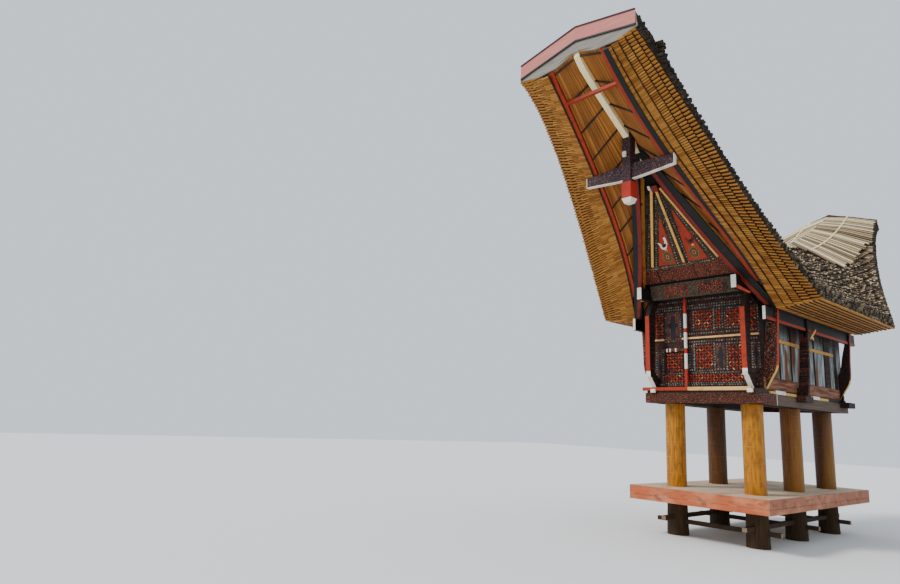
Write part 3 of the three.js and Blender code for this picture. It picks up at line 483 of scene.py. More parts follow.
def along_bow(knots, steps=6):
    """Points on a smooth curve through the knots."""
    knots = [Vector(k) for k in knots]
    padded = [2 * knots[0] - knots[1], *knots, 2 * knots[-1] - knots[-2]]
    points = []
    for a, b, c, d in zip(padded, padded[1:], padded[2:], padded[3:]):
        for step in range(steps):
            t = step / steps
            points.append(
                0.5 * (2 * b + (c - a) * t + (2 * a - 5 * b + 4 * c - d) * t**2
                       + (3 * b - a - 3 * c + d) * t**3)
            )
    return [*points, knots[-1]]


carved_bracket = carved_finish("carved bracket", 0.06, (0.85, 0.5), (36, 17, 12), (116, 44, 30))
dark_bracket = carved_finish(
    "dark carved bracket", 0.05, (0.45, 0.3), (30, 15, 11), (72, 38, 26),
    (128, 96, 70),
)
middle_bracket, place = start_finish("middle bracket")
y, z = map(place.axis, "YZ")
carving, relief = carved_colour(place, y, z, 0.05, (0.6, 0.55), (34, 18, 14), (96, 42, 30), (140, 104, 82))
carving = tint(ease(z, 3.72, 3.84) * 0.6, carving, (96, 26, 14))
end_finish(middle_bracket, tint(z > 3.94, carving, (12, 11, 10)), 0.7, relief, 0.006)
side_bow = along_bow([
    (1.122, 0, 2.782), (1.214, 0, 2.948), (1.335, 0, 3.197), (1.36, 0, 3.645), (1.388, 0, 4.11),
    (1.39, 0, 4.218),
])
end_bow = along_bow([(0, 2.115, 2.782), (0, 2.297, 2.992), (0, 2.348, 3.12), (0, 2.362, 4.236)])
for side, sign in SIDES.items():
    dress(carved_bracket, f"side_bracket_front_{side}")
    dress(middle_bracket, f"side_bracket_middle_{side}")
    dress(dark_bracket, f"side_bracket_rear_{side}")
    for end, away in ENDS.items():
        dress(dark_bracket, f"end_bracket_{end}_{side}")
        end_line = [(sign * JOIST_X, away * p.y, p.z) for p in end_bow]
        side_line = [(sign * p.x, away * 1.86, p.z) for p in side_bow]
        red = bright_red_paint if end == "front" else dark_red_paint
        for name, line, joint, half, across, out, foot_paint, face_paint in (
            ("bracket", end_line, 3.12, 0.0455, (1, 0, 0), (0, away, 0), white_paint, bright_red_paint),
            ("side_bracket", side_line, 3.19, 0.035, (0, 1, 0), (sign, 0, 0), yellow_paint, red),
        ):
            foot = strap([p for p in line if p[2] < joint + 0.01], half, 0.008, across, out)
            fit(foot, f"{name}_foot_{end}_{side}", foot_paint, "cream_wood")
            face = strap([p for p in line if p[2] > joint - 0.01], half, 0.008, across, out)
            fit(face, f"{name}_face_{end}_{side}", face_paint, "red_paint")
    knot = board((1.33, -0.54, 3.85), (1.4, -0.36, 3.98), 0.02)
    fit_all(side, ("bracket_knot", knot, black_paint, "dark_timber"))
    lashing = [
        strap([(1.385, -0.39, 3.85), (1.395, -0.26, 3.95), (1.395, -0.13, 4.05)],
              0.018, 0.016, (0, 0.6, -0.8), (1, 0, 0)),
        strap([(1.365, -0.31, 3.945), (1.345, -0.2, 3.91), (1.33, -0.08, 3.87)],
              0.024, 0.016, (0, 0.3, 0.95), (1, 0, 0)),
    ]
    fit_all(side, ("bracket_lashing", joined(lashing), ochre_wood, "cream_wood"))


# The side walls: weathered planks, grey-blue with brown stains, held by thin dark stiles,
# over a reddish-brown lower board, with a yellow batten two thirds of the way up. The planks
# are painted nearly black towards their tops, as painted shade under the eaves.
weathered, place = start_finish("weathered planks")
z = place.axis("Z")
streaks = grain(place, (10.0, 14.0, 2.4), 6.0)
stains = grain(place, (2.4, 3.2, 0.9), 4.0)
plank = tint(ease(streaks, 0.35, 0.65), (88, 93, 91), (156, 164, 163))
plank = tint(ease(stains, 0.46, 0.56), plank, tint(streaks, (66, 38, 24), (122, 78, 52)))
# Painted shade under the eaves: the planks darken to nearly black towards their tops.
plank = tint(ease(z + streaks * 0.3, 3.84, 4.12) * 0.85, plank, (26, 20, 16))
end_finish(weathered, plank, 0.8, streaks, 0.004)
brown_plank, place = start_finish("brown plank")
streaks = ease(grain(place, (10.0, 1.8, 22.0), 5.0), 0.3, 0.7)
end_finish(brown_plank, tint(streaks, (78, 40, 24), (146, 98, 70)), 0.75, streaks, 0.004)
straw_batten = plain_paint("straw yellow batten", (200, 152, 72), (160, 112, 46), (96, 64, 28))
STILES = (-1.24, -0.705, 0.47, 1.04)
bays = np.linspace(-1.8, 1.58, 11)
for side, sign in SIDES.items():
    dress(dark_wood, f"wall_{side}")
    planks = [
        board((1.106, a + 0.002, 3.0), (1.12 + random.uniform(0, 0.006), b - 0.002, 4.2), 0.003)
        for a, b in zip(bays, bays[1:])
    ]
    planks.append(board((1.106, 1.8, 2.785), (1.113, 1.995, 4.39), 0.002))
    fit_all(side, ("side_wall_planks", joined(planks), weathered, "weathered_planks"))
    lower = board((1.106, -1.95, 2.785), (1.132, 1.88, 2.995), 0.005)
    fit_all(side, ("side_wall_lower_board", lower, brown_plank, "weathered_planks"))
    stiles = [board((1.118, y - 0.016, 2.997), (1.142, y + 0.016, 4.2)) for y in STILES]
    stiles.append(board((1.106, 1.1, 2.997), (1.128, 1.36, 4.2)))
    stiles.append(board((1.1055, 1.582, 2.785), (1.114, 1.798, 4.39)))
    fit_all(side, ("side_wall_stiles", joined(stiles), dark_bracket, "dark_timber"))
    batten = board((1.13, -1.8, 3.68), (1.156, 1.5, 3.745))
    fit_all(side, ("side_wall_batten", batten, straw_batten, "cream_wood"))


# The end walls: a dark board ground, carved all over. Framing boards part it into panels.
# Slanting red leaves in rows fill the panels, pale beads run round them, and tall dark
# buffalo heads stand on pinkish brown fields between them.
def many(name, unit, places, tones, material, slot, hollow=False, fading=0.0):
    """Copies of one small shape, joined in one mesh, each with its own tone. The inside of
    a hollow one is painted dark, as painted shade, and its far end can be darker than its near end."""
    shape = unit.data
    corners = np.array([vertex.co[:] for vertex in shape.vertices])
    places = np.asarray(places)
    spread = np.einsum("nij,vj->nvi", places[:, :3, :3], corners) + places[:, None, :3, 3]
    faces = [tuple(face.vertices) for face in shape.polygons]
    mesh = bpy.data.meshes.new(name)
    mesh.from_pydata(
        spread.reshape(-1, 3),
        [],
        [tuple(i + n * len(corners) for i in face) for n in range(len(places)) for face in faces],
    )
    inside = (corners[:, 0] > 0.03) & (corners[:, 0] < 0.9) if hollow else np.zeros(len(corners), bool)
    faded = 1.0 - fading * (corners[:, 0] > 0.9)
    shades = np.where(inside[None, :], -1.0, np.asarray(tones, float)[:, None] * faded[None, :])
    tone = mesh.attributes.new("tone", "FLOAT", "POINT")
    tone.data.foreach_set("value", shades.reshape(-1))
    piece = bpy.data.objects.new(name, mesh)
    bpy.context.collection.objects.link(piece)
    bpy.data.objects.remove(unit)
    fit(piece, name, material, slot)


def tone_of(place):
    """The tone that each small piece has of its own, from 0 to 1."""
    return place.node("Attribute", {"attribute_name": "tone"}, {}, 2)


def by_tone(tone, before, after, first, *others):
    """The colour for a tone. Each colour but the first starts at a limit, and blends in from
    a little before it to a little after it."""
    colour = first
    for limit, above in others:
        colour = tint(ease(tone, limit - before, limit + after), colour, above)
    return colour


def toned_finish(name, *colours):
    """A finish whose colour goes by each small piece's own tone."""
    material, place = start_finish(name)
    dust = grain(place, (30.0, 30.0, 30.0))
    colour = by_tone(tone_of(place), 0.04, 0.04, *colours)
    return end_finish(material, tint(ease(dust, 0.45, 0.75) * 0.35, colour, (52, 30, 20)), 0.6, dust, 0.001)


red_leaves = toned_finish(
    "red leaves", (138, 32, 6), (0.35, (176, 56, 12)), (0.75, (106, 20, 6)), (0.95, (190, 144, 84))
)
pale_beads = toned_finish(
    "pale beads", (96, 100, 92), (0.4, (62, 70, 66)), (0.65, (124, 120, 106)), (0.85, (96, 50, 38))
)
olive_beads = toned_finish(
    "olive beads", (120, 124, 104), (0.4, (84, 94, 80)), (0.65, (160, 150, 124)), (0.85, (112, 56, 40))
)
wall_ground = carved_finish("carved wall ground", 0.055, (0.55, 0.2), (26, 12, 8), (96, 34, 18))
dress(wall_ground, "wall_front", "wall_rear", "upper_door")

# Each field is given by its left, its foot, its right and its head, in X and Z.
LEAF_FIELDS = (
    (-0.132, 3.959, 0.222, 4.327), (0.285, 3.97, 0.4, 4.3), (0.495, 3.959, 0.77, 4.286),
    (-0.131, 3.159, 0.219, 3.62), (0.51, 3.117, 0.771, 3.609), (-0.76, 3.12, -0.405, 3.495),
    (-0.81, 2.915, 0.9, 3.07), (-1.0, 3.82, -0.815, 4.3), (0.955, 3.8, 1.065, 4.28),
)
BEAD_FRAMES = (
    (-0.16, 3.93, 0.25, 4.35), (0.262, 3.95, 0.425, 4.32), (0.47, 3.93, 0.80, 4.31),
    (-0.16, 3.13, 0.242, 3.65), (0.49, 3.09, 0.80, 3.635), (-1.022, 3.8, -0.795, 4.32),
    (0.93, 3.78, 1.09, 4.3),
)
BUFFALO_FIELDS = (
    (-0.763, 3.735, -0.442, 4.322), (-0.98, 2.877, -0.836, 3.522), (0.253, 3.151, 0.478, 3.627),
    (-0.262, 3.15, -0.165, 3.62), (0.961, 3.166, 1.088, 3.607),
)
BEAD_ROWS = (
    (-1.07, 1.07, 2.86), (-0.83, 0.9, 2.895), (-0.83, 0.9, 3.088), (-0.3, 1.05, 3.70),
    (-0.4, 1.05, 3.86), (-0.98, 0.98, 4.375), (-0.93, 0.93, 4.425), (-0.90, 0.90, 4.53),
)
FRAMING = (
    (0.45, 3.1, 0.47, 4.33), (-0.3, 3.06, -0.275, 3.76), (0.825, 2.87, 0.85, 4.33),
    (-0.79, 3.06, -0.768, 3.55), (-0.83, 3.06, 1.09, 3.08), (-1.08, 4.33, 1.08, 4.352),
    (-0.8, 3.6, -0.78, 4.33), (-0.4, 3.6, -0.375, 4.33),
)
BATTENS = ((-1.022, -0.795), (-0.412, 0.45), (0.452, 1.095))
PEGS = (-0.735, -0.667, -0.545)
WALL_FACE, WALL_BACK = -2.004, -1.999


def stud():
    """A low eight-sided boss, the start of each leaf and bead."""
    bpy.ops.mesh.primitive_cylinder_add(vertices=8, radius=1, depth=2, rotation=(math.pi / 2, 0, 0))
    return eased(0.3, 1)


def leaves_in(fields, pitch=0.058):
    """Slanting leaves in staggered rows that fill each field."""
    places = []
    for left, foot, right, head in fields:
        columns, rows = round((right - left) / pitch), round((head - foot) / pitch)
        step_x, step_z = (right - left) / columns, (head - foot) / rows
        for i in range(columns):
            for j in range(rows):
                slant = Matrix.Rotation(math.radians(42 if (i + j) % 2 else -42), 4, "Y")
                spot = Matrix.Translation(((i + 0.5) * step_x + left, WALL_FACE, (j + 0.5) * step_z + foot))
                places.append(spot @ slant @ Matrix.Diagonal((0.53 * pitch, 0.008, 0.22 * pitch, 1)))
    return places


def beads_round(frames, rows, pitch=0.05, size=0.0165):
    """Beads round each frame and along each row."""
    spots = []
    for left, foot, right, head in frames:
        across, up = round((right - left) / pitch), round((head - foot) / pitch)
        spots += [(left + (right - left) * i / across, z) for i in range(across + 1) for z in (foot, head)]
        spots += [(x, foot + (head - foot) * i / up) for i in range(1, up) for x in (left, right)]
    for left, right, z in rows:
        count = round((right - left) / pitch)
        spots += [(left + (right - left) * i / count, z) for i in range(count + 1)]
    shape = Matrix.Diagonal((size, 0.007, size, 1))
    return [Matrix.Translation((x, WALL_FACE, z)) @ shape for x, z in spots]


def flat_piece(outline, front, back):
    """A flat shape with its outline in X and Z, between two values of Y."""
    bpy.ops.mesh.primitive_circle_add(vertices=len(outline), radius=1, fill_type="NGON")
    piece = bpy.context.object
    for vertex, (x, z) in zip(piece.data.vertices, outline):
        vertex.co = (x, front, z)
    return pulled([(0, back - front, 0)])


def rectangle(left, foot, right, head):
    """The four corners of a rectangle, in X and Z."""
    return [(left, foot), (right, foot), (right, head), (left, head)]


# Half of a buffalo head's outline, from its muzzle up to the tip of its horn, as shares of
# the field's half width and of its height.
INSET = 0.02
HALF_HEAD = (
    (0.0, 0.06), (0.3, 0.08), (0.34, 0.2), (0.26, 0.34), (0.36, 0.46), (0.6, 0.5), (0.62, 0.6),
    (0.36, 0.62), (0.3, 0.74), (0.2, 0.82), (0.14, 0.93), (0.0, 0.84),
)
pink_field = carved_finish("pinkish brown field", 0.03, (0.6, 0.5), (78, 42, 34), (138, 80, 64))
navy_paint = plain_paint("dark blue-black paint", (14, 18, 30), (7, 9, 16), (26, 28, 34))
for end in ENDS:
    for name, places, material in (
        ("carved_leaves", leaves_in(LEAF_FIELDS), red_leaves),
        ("carved_beads", beads_round(BEAD_FRAMES + BUFFALO_FIELDS, BEAD_ROWS), pale_beads),
    ):
        tones = [random.random() for _ in places]
        many(f"{name}_{end}", stud(), [half_turn(end) @ p for p in places], tones, material, "carved_timber")
    fields, heads = [], []
    for left, foot, right, head in BUFFALO_FIELDS:
        middle, half, tall = (left + right) / 2, (right - left) / 2, head - foot
        inside = rectangle(left + INSET, foot + INSET, right - INSET, head - INSET)
        fields.append(flat_piece(inside, WALL_FACE - 0.002, WALL_FACE + 0.003))
        outline = [(middle + x * half, foot + z * tall) for x, z in HALF_HEAD]
        outline += [(middle - x * half, foot + z * tall) for x, z in HALF_HEAD[-2:0:-1]]
        heads.append(flat_piece(outline, WALL_FACE - 0.008, WALL_FACE + 0.002))
    framing = boards(
        ((left, -2.014, foot), (right, WALL_BACK, head)) for left, foot, right, head in FRAMING
    )
    battens = boards(((left, -2.026, 3.757), (right, WALL_BACK, 3.793)) for left, right in BATTENS)
    lintel = board((-0.87, -2.022, 3.53), (-0.31, WALL_BACK, 3.598))
    pegs = boards((((x - 0.014, -2.034, 3.522), (x + 0.014, WALL_BACK, 3.592)) for x in PEGS), 0.005)
    fit_all(
        end,
        ("buffalo_fields", joined(fields), pink_field, "carved_timber"),
        ("buffalo_heads", joined(heads), navy_paint, "carved_timber"),
        ("wall_framing", framing, black_paint, "carved_timber"),
        ("wall_battens", battens, cream_wood, "cream_wood"),
        ("door_lintel", lintel, pink_field, "carved_timber"),
        ("door_pegs", pegs, white_paint, "cream_wood"),
    )


# The gables: a board panel that leans out over the end wall, carved with rows of dots. It
# carries two red triangles with a rooster over a sun disc in each, and three poles that fan
# out from a block at its top. A carved board closes it below, between the purlins.
GABLE_LEAN = 0.7975
GABLE_FOOT = (2.0405, 4.571)


def leaned(piece):
    """Leans a piece that is drawn upright onto the front gable."""
    foot_y, foot_z = GABLE_FOOT
    shear = Matrix.Identity(4)
    shear[1][2] = -GABLE_LEAN
    piece.data.transform(Matrix.Translation((0, -foot_y + foot_z * GABLE_LEAN, 0)) @ shear)
    return piece


gable_ground, place = start_finish("carved gable ground")
x, z = map(place.axis, "XZ")
dots, _ = carved_colour(place, x, z, 0.04, (0.7, 0.7), (44, 34, 24), (88, 64, 44), (150, 142, 110))
band, relief = carved_colour(place, x, z, 0.045, (0.8, 0.5), (78, 36, 22), (136, 56, 32))
colour = tint(z < 5.135, dots, band)
seams = (abs(x - 0.11) < 0.007) + (abs(x + 0.66) < 0.012)
colour = tint(seams * (z < 5.135), colour, (12, 9, 8))
# Painted shadow: near black above 6.36 m, in the apex of the gable. Near black below 4.9 m too.
colour = tint((z < 4.9) + (z > 6.36), colour, (10, 9, 8))
end_finish(gable_ground, colour, 0.72, relief, 0.005)
cross_board, place = start_finish("carved cross board")
x, z = map(place.axis, "XZ")
border, _ = carved_colour(place, x, z, 0.05, (0.6, 0.5), (66, 50, 36), (104, 84, 60), (150, 138, 108))
field, relief = carved_colour(place, x, z, 0.06, (0.95, 0.5), (60, 28, 18), (132, 50, 30))
in_field = (abs(abs(x) - 0.35) < 0.25) * (abs(z - 4.7) < 0.1)
end_finish(cross_board, tint(in_field, border, field), 0.72, relief, 0.005)

# The dotted borders, each from its top to its foot, and the outlines in each triangle.
DOTTED = (
    ((-0.078, 6.319), (-0.656, 5.148)), ((-0.04, 6.28), (-0.162, 5.194)), ((0.025, 6.281), (0.063, 5.182)),
    ((0.072, 6.289), (0.543, 5.168)), ((0.18, 6.3), (0.71, 5.18)), ((-0.255, 6.2), (-0.853, 5.136)),
    ((-0.855, 5.155), (0.72, 5.155)),
)
TRIANGLES = (
    ((-0.162, 6.004), (-0.567, 5.193), (-0.202, 5.181)), ((0.119, 6.074), (0.077, 5.189), (0.459, 5.189)),
)
SUN_RINGS = (
    (0.108, "green"), (0.096, "dark_red"), (0.086, "bamboo"), (0.078, "black"), (0.064, "green"),
    (0.048, "dark_red"), (0.034, "bamboo"), (0.018, "black"),
)
SUN_MIDDLES = ((-0.319, 5.312), (0.24, 5.318))
ROOSTER_FEET = ((-0.315, 5.415), (0.245, 5.42))
ROOSTER = {
    "body": ((-0.07, 0.1), (-0.1, 0.16), (-0.06, 0.15), (-0.02, 0.11), (0.03, 0.11), (0.055, 0.17),
             (0.05, 0.22), (0.085, 0.25), (0.1, 0.2), (0.095, 0.12), (0.05, 0.05), (-0.01, 0.03),
             (-0.06, 0.05)),
    "wing": ((-0.01, 0.06), (0.05, 0.075), (0.075, 0.13), (0.02, 0.12), (-0.04, 0.1)),
    "comb": ((0.045, 0.22), (0.055, 0.262), (0.07, 0.25), (0.085, 0.265), (0.09, 0.238)),
    "legs": ((0.0, 0.04), (-0.012, -0.03), (0.0, -0.03), (0.012, 0.02), (0.03, 0.02), (0.04, -0.03),
             (0.052, -0.03), (0.036, 0.045)),
}
green_paint = plain_paint("grey green paint", (86, 98, 70), (58, 68, 50), (40, 40, 32))
split_bamboo = plain_paint("split bamboo beside the gable", (200, 134, 50), (150, 94, 30), (70, 44, 20))
gable_paints = {
    "red": (bright_red_paint, "red_paint"), "dark_red": (dark_red_paint, "red_paint"),
    "white": (white_paint, "cream_wood"), "black": (black_paint, "dark_timber"),
    "ochre": (ochre_wood, "cream_wood"), "green": (green_paint, "carved_timber"),
    "bamboo": (split_bamboo, "bamboo"),
}


def along(start, finish, pitch):
    """Evenly spaced spots on a straight line."""
    count = max(1, round(math.dist(start, finish) / pitch))
    return [tuple(a + (b - a) * i / count for a, b in zip(start, finish)) for i in range(count + 1)]


for end in ENDS:
    dress(gable_ground, f"gable_panel_{end}")
    dress(cross_board, f"gable_cross_board_{end}")
    shapes = {paint: [] for paint in gable_paints}
    for triangle in TRIANGLES:
        shapes["red"].append(flat_piece(triangle, -0.006, 0.0))
    for (x, z), (feet_x, feet_z), plumage in zip(SUN_MIDDLES, ROOSTER_FEET, ("white", "dark_red")):
        for level, (radius, paint) in enumerate(SUN_RINGS):
            ring = [
                (x + radius * math.cos(turn), z + radius * math.sin(turn))
                for turn in np.linspace(0, 2 * math.pi, 20, endpoint=False)
            ]
            shapes[paint].append(flat_piece(ring, -0.008 - 0.0015 * level, -0.005))
        for part, paint, level in (
            ("legs", "ochre", 0.007), ("body", plumage, 0.009), ("wing", "black", 0.011),
            ("comb", "dark_red", 0.011),
        ):
            outline = [(feet_x + a, feet_z + b) for a, b in ROOSTER[part]]
            shapes[paint].append(flat_piece(outline, -level, -0.004))
    block = [(-0.079, 6.345), (0.04, 6.345), (0.05, 6.44), (-0.085, 6.44)]
    shapes["dark_red"].append(flat_piece(block, -0.1, 0.0))
    cube = rectangle(-0.135, 6.39, -0.09, 6.45)
    shapes["white"].append(flat_piece(cube, -0.11, -0.06))
    shapes["black"].append(flat_piece(cube, -0.0595, 0.0))
    for (top_x, top_z), (foot_x, foot_z) in (
        ((-0.092, 6.38), (-0.68, 5.168)), ((0.0, 6.34), (0.0, 5.165)), ((0.092, 6.38), (0.68, 5.168)),
    ):
        bpy.ops.mesh.primitive_cylinder_add(
            vertices=16, radius=0.024, depth=math.hypot(top_x - foot_x, top_z - foot_z),
            location=((top_x + foot_x) / 2, -0.084, (top_z + foot_z) / 2),
            rotation=(0, math.atan2(top_x - foot_x, top_z - foot_z), 0),
        )
        shapes["ochre"].append(eased(0.004))
        stub = rectangle(foot_x - 0.02, foot_z, foot_x + 0.02, foot_z + 0.03)
        shapes["dark_red"].append(flat_piece(stub, -0.08, 0.0))
    for side in (-1, 1):
        corners = ((0.291, 6.604), (0.173, 6.613), (1.021, 4.904), (1.124, 4.896))
        shapes["bamboo"].append(flat_piece([(side * x, z) for x, z in corners], -0.012, 0.006))
    for paint, (material, slot) in gable_paints.items():
        fit_all(end, (f"gable_{paint}", leaned(joined(shapes[paint])), material, slot))
    dots = [spot for top, foot in DOTTED for spot in along(top, foot, 0.044)]
    places = [
        half_turn(end) @ Matrix.Translation((x, -GABLE_FOOT[0] - (z - GABLE_FOOT[1]) * GABLE_LEAN - 0.003, z))
        @ Matrix.Diagonal((0.0165, 0.006, 0.0165, 1))
        for x, z in dots
    ]
    tones = [random.random() for _ in places]
    many(f"gable_beads_{end}", stud(), places, tones, olive_beads, "carved_timber")


# The V of two black boards that frames each gable. A dull red strip runs up the inner edge
# of each, bowed inwards a little, with a sliver of golden bamboo beside it at the left.
V_FOOT = 4.2253
for end, away, top in (("front", -1, 6.871), ("rear", 1, 6.634)):
    dress(black_paint, f"gable_v_boards_{end}")
    for side, sign, outwards in (("left", -1, 0.085), ("right", 1, 0.04)):
        line = []
        for share in np.linspace(0.02, 0.955, 12):
            z = V_FOOT + (top - V_FOOT) * share
            inner = 1.29 * (top - z) / (top - V_FOOT)
            x = inner - 0.082 * math.sin(math.pi * share) + outwards
            line.append((sign * x, away * (2.022 + (z - V_FOOT) * GABLE_LEAN), z))
        strip = strap(line, 0.042, 0.022, (1, 0, 0), (0, away, 0))
        fit(strip, f"v_board_edge_{end}_{side}", dark_red_paint, "red_paint")


# Purlins and eave plates: squared beams, painted black. Their ends are capped with boards
# painted white, a red strip runs along the foot of each eave plate, and a red brace on the
# right and an orange-brown knee on the left hold up each end of the purlins.
BEAM_ENDS = ((0.918, 1.012, 2.634, 2.65, 4.544, 4.782), (1.2955, 1.3475, 2.276, 2.29, 3.984, 4.226))
for side, sign in SIDES.items():
    dress(black_paint, f"purlin_{side}", f"eave_plate_{side}")
    caps = boards((
        ((sign * left, away * near, foot), (sign * right, away * far, head))
        for away in ENDS.values() for left, right, near, far, foot, head in BEAM_ENDS
    ), 0.005)
    fit(caps, f"beam_end_caps_{side}", white_paint, "cream_wood")
    strip = board((sign * 1.3555, -2.27, 3.983), (sign * 1.364, 2.27, 4.04), 0.003)
    fit(strip, f"eave_plate_strip_{side}", red_paint, "red_paint")
for end in ENDS:
    brace = flat_piece([(0.99, 4.54), (1.0, 4.61), (1.233, 4.445), (1.213, 4.415)], -2.62, -2.56)
    knee = flat_piece([(-1.125, 4.8), (-1.021, 4.8), (-1.021, 4.565), (-1.13, 4.562)], -2.33, -2.29)
    fit_all(
        end,
        ("purlin_brace", brace, bright_red_paint, "red_paint"),
        ("purlin_knee", knee, ochre_wood, "cream_wood"),
    )


# Under the eaves, bamboo rods lie side by side across the edge in stepped bands, fine ones
# inside and thicker ones outside. Along the level part each band is laid in two halves.
PROWS = {
    -1: SimpleNamespace(reach=6.035, tip=1.212, eave=3.761, soffit=3.755, ridge=2.538, bow=0.045),
    1: SimpleNamespace(reach=5.545, tip=1.191, eave=3.19, soffit=3.185, ridge=2.088, bow=0.03),
}
LEVEL = 2.04


def roof_at(y):
    """The roof's lines in one cross section, in metres: its ridge, eave, lining and rails."""
    prow = PROWS[-1 if y < 0 else 1]
    share = max(0.0, (abs(y) - LEVEL) / (prow.reach - LEVEL))
    left = 1.0 - min(share, 1.0)
    ridge = 6.052 + prow.ridge * (abs(y) / prow.reach) ** 1.6
    soffit_x = 0.59 + 0.85 * left**1.75
    soffit_z = 4.225 + prow.soffit * (share + 0.6 * share * left**3)
    eave_x = prow.tip + (2.2 - prow.tip) * left**1.55
    eave_z = 4.309 + prow.eave * (1.0 - left * (1.0 - 0.55 * share**3))
    return SimpleNamespace(
        share=share,
        ridge=ridge,
        crown=ridge - 0.445 + 0.035 * share**3,
        eave_x=eave_x,
        eave_z=eave_z,
        soffit_x=soffit_x,
        soffit_z=soffit_z,
        seat_x=soffit_x - 0.1 - 0.05 * left**12,
        seat_z=soffit_z + (0.09 if abs(y) > 1.95 else 0.0),
        across=eave_x - 0.04,
        fall=ridge - eave_z - 0.26,
    )


def near_tip(section):
    """0 over most of the roof, and up to 1 near the tip of its prow."""
    return min(max(section.share * 4.0 - 2.2, 0.0), 1.0)


def even_steps(line_at, first, last, pitch):
    """Values of Y from first to last, evenly spaced along a line in Y and Z."""
    ys = np.linspace(first, last, 600)
    zs = np.array([line_at(y) for y in ys])
    run = np.concatenate([[0.0], np.cumsum(np.hypot(np.diff(ys), np.diff(zs)))])
    return np.interp(np.arange(pitch / 2, run[-1], pitch), run, ys)


BANDS = 5
STEP = 0.022


def band_edges(section, band):
    """Inner and outer edge of one band, in X and Z."""
    wide = (section.eave_x - section.soffit_x) / BANDS
    rise = (section.eave_z - section.soffit_z - STEP * (BANDS - 1)) / BANDS
    inner = np.array([section.soffit_x + band * wide, section.soffit_z + band * (rise + STEP)])
    return inner, inner + (wide, rise)


def between_points(start, finish, thick, wide=None):
    """Places a unit rod, one long in X and one in radius, between two points. It can be
    wider across than it is thick."""
    run = np.subtract(finish, start)
    facing = np.array([0.0, 0.0, -1.0])
    facing = facing - run * (facing @ run) / (run @ run)
    facing = facing / np.linalg.norm(facing) * thick
    third = np.cross(run, facing)
    third = third / np.linalg.norm(third) * (wide or thick)
    place = np.identity(4)
    place[:3, 0], place[:3, 1], place[:3, 2], place[:3, 3] = run, third * -1, facing * -1, start
    return place


def unit_rod(sides):
    """A straight rod, one long in X and one in radius."""
    bpy.ops.mesh.primitive_cylinder_add(
        vertices=sides, radius=1, depth=1, rotation=(0, math.pi / 2, 0), location=(0.5, 0, 0)
    )
    bpy.ops.object.transform_apply(location=True, rotation=True, scale=True)
    return bpy.context.object


def bamboo_finish(name, hollow, grime_by, grime, *colours):
    """Dry bamboo: each piece has its own tone, with flecks of grime, and its inside is painted dark as painted
    shade.
    """
    material, place = start_finish(name)
    tone = tone_of(place)
    flecks = grain(place, (36.0, 50.0, 50.0), 4.0)
    colour = tint(ease(flecks, 0.5, 0.72) * grime_by, by_tone(tone, 0.2, 0.05, *colours), grime)
    # Painted shade: inside a hollow piece, where the tone is -1, the colour is the dark hollow one.
    return end_finish(material, tint(tone < -0.4, colour, hollow), 0.6 + flecks * 0.25, flecks, 0.001)


# Each bamboo finish starts with the colour of the painted shade inside its hollow pieces.
soffit_bamboo = bamboo_finish(
    "golden bamboo", (40, 22, 10), 0.4, (96, 60, 24),
    (136, 84, 25), (0.3, (158, 104, 37)), (0.75, (180, 126, 54)),
)
gap_shadow = plain_paint("dark between the bamboo", (52, 31, 18), (30, 18, 11), (66, 42, 24), 0.9)
# The roof body under the rods, tiles and poles is dressed dark: painted shade in the gaps.
dress(gap_shadow, "roof_left", "roof_right")
ROD_PITCHES = (0.03, 0.032, 0.045, 0.064, 0.07)
ROD_THICK = 0.017
for side, sign in SIDES.items():
    places, tones = [], []
    for band, pitch in enumerate(ROD_PITCHES):
        outermost = band == BANDS - 1
        pitch = min(pitch, 0.06) if sign < 0 else pitch
        for y in even_steps(lambda y: band_edges(roof_at(y), band)[0][1], -6.02, 5.53, pitch):
            inner, outer = band_edges(roof_at(y), band)
            prow = PROWS[-1 if y < 0 else 1]
            if abs(y) > prow.reach - 0.012 - prow.bow * (1 - inner[0] / prow.tip):
                continue
            wide = pitch * random.uniform(0.48, 0.51) * (1.2 if band > 2 else 1.0)
            thick = min(wide, ROD_THICK)
            run = outer - inner
            halves = 2 if abs(y) < LEVEL - 0.05 and band > 0 else 1
            for half in range(halves):
                first = inner + run * (half / halves)
                last = inner + run * ((half + 1) / halves)
                end_here = -0.003 if sign > 0 else random.uniform(0.0, 0.05)
                if outermost and half == halves - 1:
                    end_here = random.uniform(-0.012, 0.0) if sign > 0 else random.uniform(0.0, 0.02)
                    if sign > 0 > y:
                        end_here -= 0.045 * near_tip(roof_at(y))
                last = last + run / np.hypot(*run) * end_here
                low = -0.25 * thick - 0.016 * (halves - 1 - half)
                slip = random.uniform(-0.002, 0.002)
                places.append(between_points(
                    (sign * (first[0] + 0.002), y + slip, first[1] + low),
                    (sign * last[0], y - slip, last[1] + low), thick, wide,
                ))
                variety = 0.45 if band > 2 else 1.0
                # Painted light: the rods of the level part, laid in two halves, are 0.35 lighter in tone.
                tones.append(0.5 + (random.random() - 0.5) * variety + 0.35 * (halves - 1))
    many(f"eave_rods_{side}", unit_rod(6), places, tones, soffit_bamboo, "bamboo")
    # Dark straps along the edges of the bands, and along the seam of the two halves on the level part: painted
    # shadow lines.
    edges = []
    for band in range(BANDS):
        if sign > 0 and band < BANDS - 1:
            line = []
            for y in np.linspace(-5.98, 5.5, 90):
                outer = band_edges(roof_at(y), band)[1]
                line.append((sign * outer[0], y, outer[1] - 0.017))
            edges.append(strap(line, 0.018, 0.007, (0, 0, 1), (sign, 0, 0)))
        if band > 0:
            line = []
            for y in np.linspace(-1.985, 1.985, 24):
                inner, outer = band_edges(roof_at(y), band)
                middle = (inner + outer) / 2
                line.append((sign * middle[0], y, middle[1] - 0.03))
            edges.append(strap(line, 0.012, 0.006, (0, 0, 1), (sign, 0, 0)))
    fit(joined(edges), f"eave_band_edges_{side}", gap_shadow, "bamboo")


